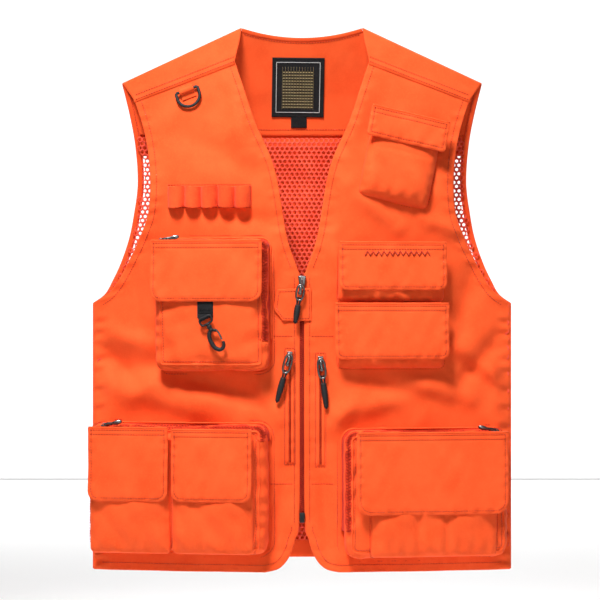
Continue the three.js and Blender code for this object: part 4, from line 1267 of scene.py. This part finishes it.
def make_loops():
    node = "cartridge_loops"
    low, high = cad(node)
    centre = (low + high) / 2
    slope = 2 * FRONT_BULGE * centre.x / SEAM_X**2
    right = Vector((1, slope, 0)).normalized()
    out = right.cross(Vector((0, 0, 1)))
    place = Spot(centre, right, out)
    size_low, size_high = place.size(node)
    pitch = (size_high[0] - size_low[0]) / 5
    count = 5 * 26 + 1
    x = np.linspace(size_low[0], size_high[0], count)
    phase = ((x - size_low[0]) / pitch) % 1.0
    rise = np.sqrt(np.abs(np.sin(math.pi * phase))) ** 0.9
    z = np.linspace(size_low[2], size_high[2], 30)
    top = place.shell(x[None, :] + 0 * z[:, None], z[:, None] + 0 * x[None, :])
    height = size_high[1] - size_low[1] - 2.2
    nn = top + 0.5 + height * rise[None,
        :] * (1 - 0.05 * np.sin(math.pi * (z[:, None] - z[0]) / (z[-1] - z[0])))
    nn = nn + 0.14 * np.sin(z[:, None] * 3.4)
    xx = x[None, :] + 0 * z[:, None]
    foot = np.clip(1 - (z[:, None] - z[0]) / 9.0, 0, 1)
    zz = z[:, None] + 0.5 * np.sin(x[None, :] / 7) - 2.6 * rise[None, :] * foot
    make("cartridge_loop_elastic", *slab(place.at(xx, nn + 0.7, zz), place.at(xx, nn - 0.7, zz), 0.3),
        ELASTIC, replaces=[node])
    lines = []
    for i in range(6):
        at = size_low[0] + i * pitch + (1.3 if i == 0 else -1.3 if i == 5 else 0)
        lines.append(np.array([(at, size_low[2] + 0.5), (at, size_high[2] - 0.5)]))
    ground = lambda a, b, out: place.at(a, place.shell(a, b) + out, b)
    stitch("cartridge_loop_stitching", lines, ground, 1.6, pitch=2.4, length=1.9, radius=0.35)
    edge = [np.array([(size_low[0], zz0), (size_high[0], zz0)]) for zz0 in (size_low[2] - 1.6,
        size_high[2] + 1.6)]
    stitch("cartridge_loop_base_stitching", edge, ground, 0.1)


def make_d_ring():
    place = Place("d_ring_swing", "d_ring")
    low, high = place.size("d_ring")
    r = (high[0] - low[0]) / 2 - 2
    line = [(-r, 0.4),
        (-r, -5)] + [(-r * math.cos(a), -6 - r * math.sin(a)) for a in np.linspace(0.1, math.pi - 0.1, 24)]
    line += [(r, -5), (r, 0.4), (r - 1.6, 1.6), (0, 1.6), (-r + 1.6, 1.6)]
    path = [place.at(a, 0, b) for a, b in line]
    make("d_ring_moulding", *tube(path, 1.95, 12, closed=True, squash=(1, 0.8), up=place.out), PLASTIC,
        "d_ring", ["d_ring"])
    loop_low, loop_high = place.size("d_ring_loop")
    half = (loop_high[0] - loop_low[0]) / 2 - 1.0
    strip = []
    profile = [(-3.2, -6.8), (-2.9, -3.5), (-1.9, -1.6)]
    for a in np.linspace(-0.5, 1.1, 7) * math.pi:
        profile.append((0.1 + 3.0 * math.sin(a + 0.1), 0.8 - 3.0 * math.cos(a + 0.1) * -1))
    profile = [(-3.4, -9.0),
        (-2.6, -4.5)] + [(3.0 * math.sin(a), 1.0 - 3.0 * math.cos(a)) for a in np.linspace(-0.35, 2.6, 16)]
    profile += [(-1.0, 5.4), (-3.2, 8.8)]
    for out, z in smooth(profile, 4):
        strip.append([place.at(x, out, z) for x in np.linspace(-half, half, 20)])
    strip = np.array(strip)
    normal = np.cross(np.gradient(strip, axis=0), np.gradient(strip, axis=1))
    normal /= np.maximum(np.linalg.norm(normal, axis=-1, keepdims=True), 1e-9)
    make("d_ring_loop_cloth", *slab(strip + normal * 0.55, strip - normal * 0.55, 0.25), SHELL,
        replaces=["d_ring_loop"])


def make_main_zip():
    low, high = cad("right_zip_teeth")
    n_mid = 1.15
    pitch = 2.6
    for side, sign in (("right", -1), ("left", 1)):
        zs = np.linspace(ZIP_BOTTOM_Z, V_BOTTOM_Z, 90)
        tape = np.stack(np.broadcast_arrays(np.linspace(0.6, 14, 8)[None, :] * sign, zs[:, None]), axis=-1)
        if sign < 0:
            tape = tape[:, ::-1]
        cloth_piece(f"{side}_zip_tape_cloth", tape, front, -1.0, -0.2, TAPE, replaces=[f"{side}_zip_tape"])
        parts = []
        z = low.z
        while z < high.z:
            at = z + (pitch / 2 if sign > 0 else 0)
            path = [front(sign * d, at, n_mid) for d in (2.5, 1.6, 0.4, -0.5)]
            parts.append(tube(path, [0.7, 0.85, 0.75, 0.6], 6, up=Vector((0, -1, 0))))
            z += pitch
        parts.append(tube([front(sign * 2.4, z, n_mid - 0.2) for z in np.linspace(low.z, high.z, 60)], 0.65,
            6))
        make(f"{side}_zip_chain", *gather(parts), TEETH, replaces=[f"{side}_zip_teeth"])
    low, high = cad("zip_box")
    spot = Spot((low + high) / 2, (1, 0, 0), (0, -1, 0))
    parts = [block(spot, 0, 0, 0, (high.x - low.x, 3.8, high.z - low.z), 0.9, 0.85),
        block(spot, 0, 1.7, 1, (2.4, 1.2, 7), 0.4)]
    make("zip_box_moulding", *gather(parts), PLASTIC, replaces=["zip_box"])
    slider_and_pull("main_slider", "main_puller", "main_pull_swing", True)

    place = Place("closure_tab_lift", "closure_tab")
    upright = Spot(place.origin, (1, 0, 0), (0, -1, 0))
    low, high = upright.size("closure_tab")
    left = np.array([(-34, -20), (-40, -12), (-45, -5), (-43.5, 7), (-41, 19.4)], float)
    zs = np.linspace(0, 1, 40)
    left = resample(smooth(left, 5), 40)
    right = np.stack([np.full(40, high[0] + 1.5), low[2] + (high[2] - low[2]) * zs], axis=1)
    grid = between(left, right, 44)
    curve = 0.5 * np.sin(grid[..., 1] / 9) + 0.9 * np.exp(-(((grid[..., 0] + 10) / 5) ** 2))
    make("closure_tab_cloth",
        *slab(upright.at(grid[..., 0], 0.5 + curve, grid[..., 1]),
        upright.at(grid[..., 0], curve - 1.1, grid[..., 1]), 0.6), SHELL, "closure_tab", ["closure_tab"])
    inset = np.array([(-1, -17), (-33, -17), (-41.6, -5), (-38.5, 16.3), (-1, 18), (-1, -17)], float)
    surface = lambda a, b, out: upright.at(a,
        0.5 + 0.5 * math.sin(b / 9) + 0.9 * math.exp(-(((a + 10) / 5) ** 2)) + out, b)
    stitch("closure_tab_stitching", [inset], surface, 0.15, "closure_tab")


def make_welts():
    for side in ("right", "left"):
        low, high = cad(f"{side}_welt_zip")
        x = (low.x + high.x) / 2
        zs = np.linspace(low.z, high.z, 90)
        for name, shift in (("outer", -3.1), ("inner", 3.1)):
            grid = np.stack(np.broadcast_arrays(x + shift + np.linspace(-1.9, 1.9, 9)[None, :],
                zs[:, None]), axis=-1)
            swell = 0.7 * bulge((grid[..., 0] - x - shift + 1.9) / 3.8, 2)
            face = front(grid[..., 0], grid[..., 1], 2.2)
            face[..., 1] -= swell
            make(f"{side}_welt_{name}_lip", *slab(face, front(grid[..., 0], grid[..., 1], 1.6), 0.2), SHELL,
                replaces=[f"{side}_welt_zip"] if name == "outer" else ())
        parts = []
        for i, z in enumerate(np.arange(low.z + 2, high.z - 2, 1.7)):
            shift = 0.5 if i % 2 else -0.5
            path = [front(x + shift + d, z, 2.2 + h) for d, h in ((-1.1, 0), (0, 0.7), (1.1, 0))]
            parts.append(tube(path, 0.5, 6))
        make(f"{side}_welt_coil", *gather(parts), TEETH)
        frame_line = np.array([(x - 6.6, low.z - 2), (x + 6.6, low.z - 2), (x + 6.6, high.z + 2),
            (x - 6.6, high.z + 2), (x - 6.6, low.z - 2)])
        stitch(f"{side}_welt_stitching", [frame_line], front, CLOTH + 0.3)
        slider_and_pull(f"{side}_welt_slider", f"{side}_welt_puller", f"{side}_welt_pull_swing", False)
        bag_low, bag_high = cad(f"{side}_pocket_bag")
        grid = np.stack(np.meshgrid(np.linspace(bag_low.x, bag_high.x, 40),
            np.linspace(bag_low.z, bag_high.z, 60)), axis=-1)
        cloth_piece(f"{side}_pocket_bag_cloth", grid, front, -3.4, -1.8, TAPE,
            replaces=[f"{side}_pocket_bag"])


def make_labels():
    low, high = cad("neck_label")
    middle = (low + high) / 2
    inside = lambda x, z, out: back(x, z, -out)
    half_x, half_z = (high.x - low.x) / 2 - 0.6, (high.z - low.z) / 2
    tilt = 0.017

    def turn(dx, dz):
        return middle.x + dx + dz * tilt, middle.z + dz - dx * 0.01

    dx, dz = np.meshgrid(np.linspace(-half_x, half_x, 60), np.linspace(-half_z, half_z, 66))
    x, z = turn(dx, dz)
    curl = 0.5 * (np.abs(dx) / half_x) ** 6
    make("neck_label_satin",
        *slab(inside(x, z, 1.6) + np.stack([0 * x, -curl, 0 * x], -1), inside(x, z, 0.3), 0.2), SATIN,
        replaces=["neck_label"])
    frame_x, frame_z = half_x - 5.5, half_z - 6.0
    corners = [(-frame_x, -frame_z), (frame_x, -frame_z), (frame_x, frame_z), (-frame_x, frame_z),
        (-frame_x, -frame_z)]
    lines = [np.array([turn(*c) for c in corners])]
    stitch("neck_label_frame", lines, inside, 1.65, material=SILVER, pitch=1.5, length=1.45, radius=0.42)
    edge = [(sx * (half_x - 1.4), sz * (half_z - 1.4)) for sx,
        sz in ((-1, -1), (1, -1), (1, 1), (-1, 1), (-1, -1))]
    stitch("neck_label_edge_stitching", [np.array([turn(*c) for c in edge])], inside, 1.6, material=CORD)
    parts = []
    for i in range(11):
        for j in range(13):
            gx = -frame_x + 9.5 + i * 3.55
            gz = -frame_z + 6.5 + j * 3.6
            at = turn(gx, gz)
            path = [inside(at[0] + d, at[1], 1.7 + h) for d,
                h in ((-0.75, -0.15), (-0.3, 0.25), (0.3, 0.25), (0.75, -0.15))]
            parts.append(tube(path, [0.4, 0.75, 0.75, 0.4], 8, up=Vector((0, -1, 0))))
    make("neck_label_dots", *gather(parts), GOLD)
    ground = []
    for i in range(12):
        gx = -frame_x + 7.7 + i * 3.55
        ground.append(np.array([turn(gx, -frame_z + 4), turn(gx, frame_z - 5)]))
    stitch("neck_label_grid", ground, inside, 1.5, material=GOLD, pitch=1.7, length=1.6, radius=0.16)
    low, high = cad("size_tag")
    dx, dz = np.meshgrid(np.linspace(low.x, high.x, 20), np.linspace(low.z, high.z + 1.5, 16))
    bow = 0.5 * np.sin((dx - low.x) / (high.x - low.x) * math.pi)
    make("size_tag_satin",
        *slab(inside(dx, dz, 1.3) - np.stack([0 * dx, bow, 0 * dx], -1),
        inside(dx, dz, 0.3) - np.stack([0 * dx, bow, 0 * dx], -1), 0.15), SATIN, "size_tag", ["size_tag"])
    hem = [np.array([(low.x + 1.5, low.z + 1.6), (high.x - 1.5, low.z + 1.6)])]
    stitch("size_tag_stitching", hem, inside, 1.7, "size_tag", CORD, pitch=1.8, length=1.4, radius=0.2)


# ---- camera, light and floor ---------------------------------------------------------------
CAMERA_DISTANCE = 3.78
CAMERA_HEIGHT = 339.0
FLOOR_DROP = 0.14
SWEEP_NEAR, SWEEP_BEND, SWEEP_RADIUS, SWEEP_TOP, SWEEP_HALF = -5.0, 4.2, 1.0, 4.5, 6.0
BEAM = math.radians(38)
LIGHTS = (
    ("key", (-0.5, -1.4, 1.75), 0.7, 6.7), ("fill", (0.5, -3.4, 0.2), 1.2, 0.8),
    ("rear", (0.9, 2.2, 1.6), 0.9, 7), ("wall", (0, 3.3, 2.6), 3.0, 150),
)


def make_stage():
    """The camera, a white paper sweep and four soft lights."""
    bpy.context.scene.view_settings.view_transform = "Standard"
    camera = bpy.data.objects.new("camera", bpy.data.cameras.new("camera"))
    bpy.context.scene.collection.objects.link(camera)
    camera.data.lens = 180
    camera.data.sensor_width = 36
    camera.location = (-0.0025, -CAMERA_DISTANCE, (CAMERA_HEIGHT - NECKLINE_Z) * MM)
    camera.rotation_euler = (math.pi / 2, 0, 0)
    bpy.context.scene.camera = camera

    r = SWEEP_RADIUS
    bend = [(SWEEP_BEND + r * math.sin(a), r - r * math.cos(a)) for a in np.linspace(0, math.pi / 2, 16)]
    profile = [(SWEEP_NEAR, 0.0), (SWEEP_BEND, 0.0)] + bend + [(SWEEP_BEND + r, SWEEP_TOP)]
    floor_z = -NECKLINE_Z * MM - FLOOR_DROP
    points = [(x, y, floor_z + z) for x in (-SWEEP_HALF, SWEEP_HALF) for y, z in profile]
    count = len(profile)
    faces = [(i, i + 1, count + i + 1, count + i) for i in range(count - 1)]
    mesh = bpy.data.meshes.new("studio_sweep")
    mesh.from_pydata(points, [], faces)
    mesh.shade_smooth()
    sweep = bpy.data.objects.new("studio_sweep", mesh)
    bpy.context.scene.collection.objects.link(sweep)
    look = Look("pale_paper", 0.9)
    look.colour(look.mix(rgba(0.72, 0.72, 0.72), rgba(0.68, 0.68, 0.68), look.noise(4)))
    look.shader.inputs["Emission Color"].default_value = rgba(1, 1, 1)
    look.shader.inputs["Emission Strength"].default_value = 0.3
    mesh.materials.append(look.material)

    world = bpy.data.worlds.new("studio")
    bpy.context.scene.world = world
    world.use_nodes = True
    world.node_tree.nodes["Background"].inputs[0].default_value = (1, 1, 1, 1)
    world.node_tree.nodes["Background"].inputs[1].default_value = 0.1
    for name, place, size, power in LIGHTS:
        light = bpy.data.objects.new(name, bpy.data.lights.new(name, "AREA"))
        bpy.context.scene.collection.objects.link(light)
        light.data.size = size
        light.data.energy = power
        if name != "wall":
            light.data.spread = BEAM
        light.location = place
        aim = Vector((0, 5.2, 0.0)) if name == "wall" else Vector((0, 0, -0.33))
        light.rotation_euler = (aim - Vector(place)).to_track_quat("-Z", "Y").to_euler()


def declare_sheets():
    """A table of the smaller sheets, built here and not passed on. Their sizes, in metres, were read off the
    finished pieces.
    """
    pair = ("right", "left")
    rows = [
        ("back_hem_fold", 0.52, 0.026, 0.0130, "stretched", "back_shell_cloth"),
        ("neck_label_satin", 0.067, 0.078, 0.0052, "laid", "neck_facing_cloth"),
        ("cartridge_loop_elastic", 0.155, 0.030, 0.00465, "gathered", "right_front_cloth"),
        ("closure_tab_cloth", 0.047, 0.041, 0.0018, "laid", "right_front_cloth"),
        ("hook_strap_webbing", 0.020, 0.050, 0.0010, "hung", "camera_pocket_cloth"),
    ]
    rows += [(f"{side}_pocket_bag_cloth", 0.098, 0.170, 0.0165, "hung",
        f"{side}_front_cloth") for side in pair]
    rows += [(f"{side}_neck_facing", 0.030, 0.330, 0.0083, "stretched",
        f"{side}_front_cloth") for side in pair]
    rows += [(f"{side}_armhole_facing", 0.024, 0.300, 0.0062, "stretched",
        f"{side}_front_cloth") for side in pair]
    rows += [(f"{side}_zip_tape_cloth", 0.0137, 0.310, 0.0042, "stretched",
        f"{side}_front_cloth") for side in pair]


make_stage()
make_back()
make_bindings()
make_netting()
make_fronts()
make_seam_tape()
make_labels()
make_main_zip()
make_welts()
make_loops()
make_d_ring()
make_camera_pocket()
make_right_lower_pocket()
make_left_pockets()
declare_sheets()
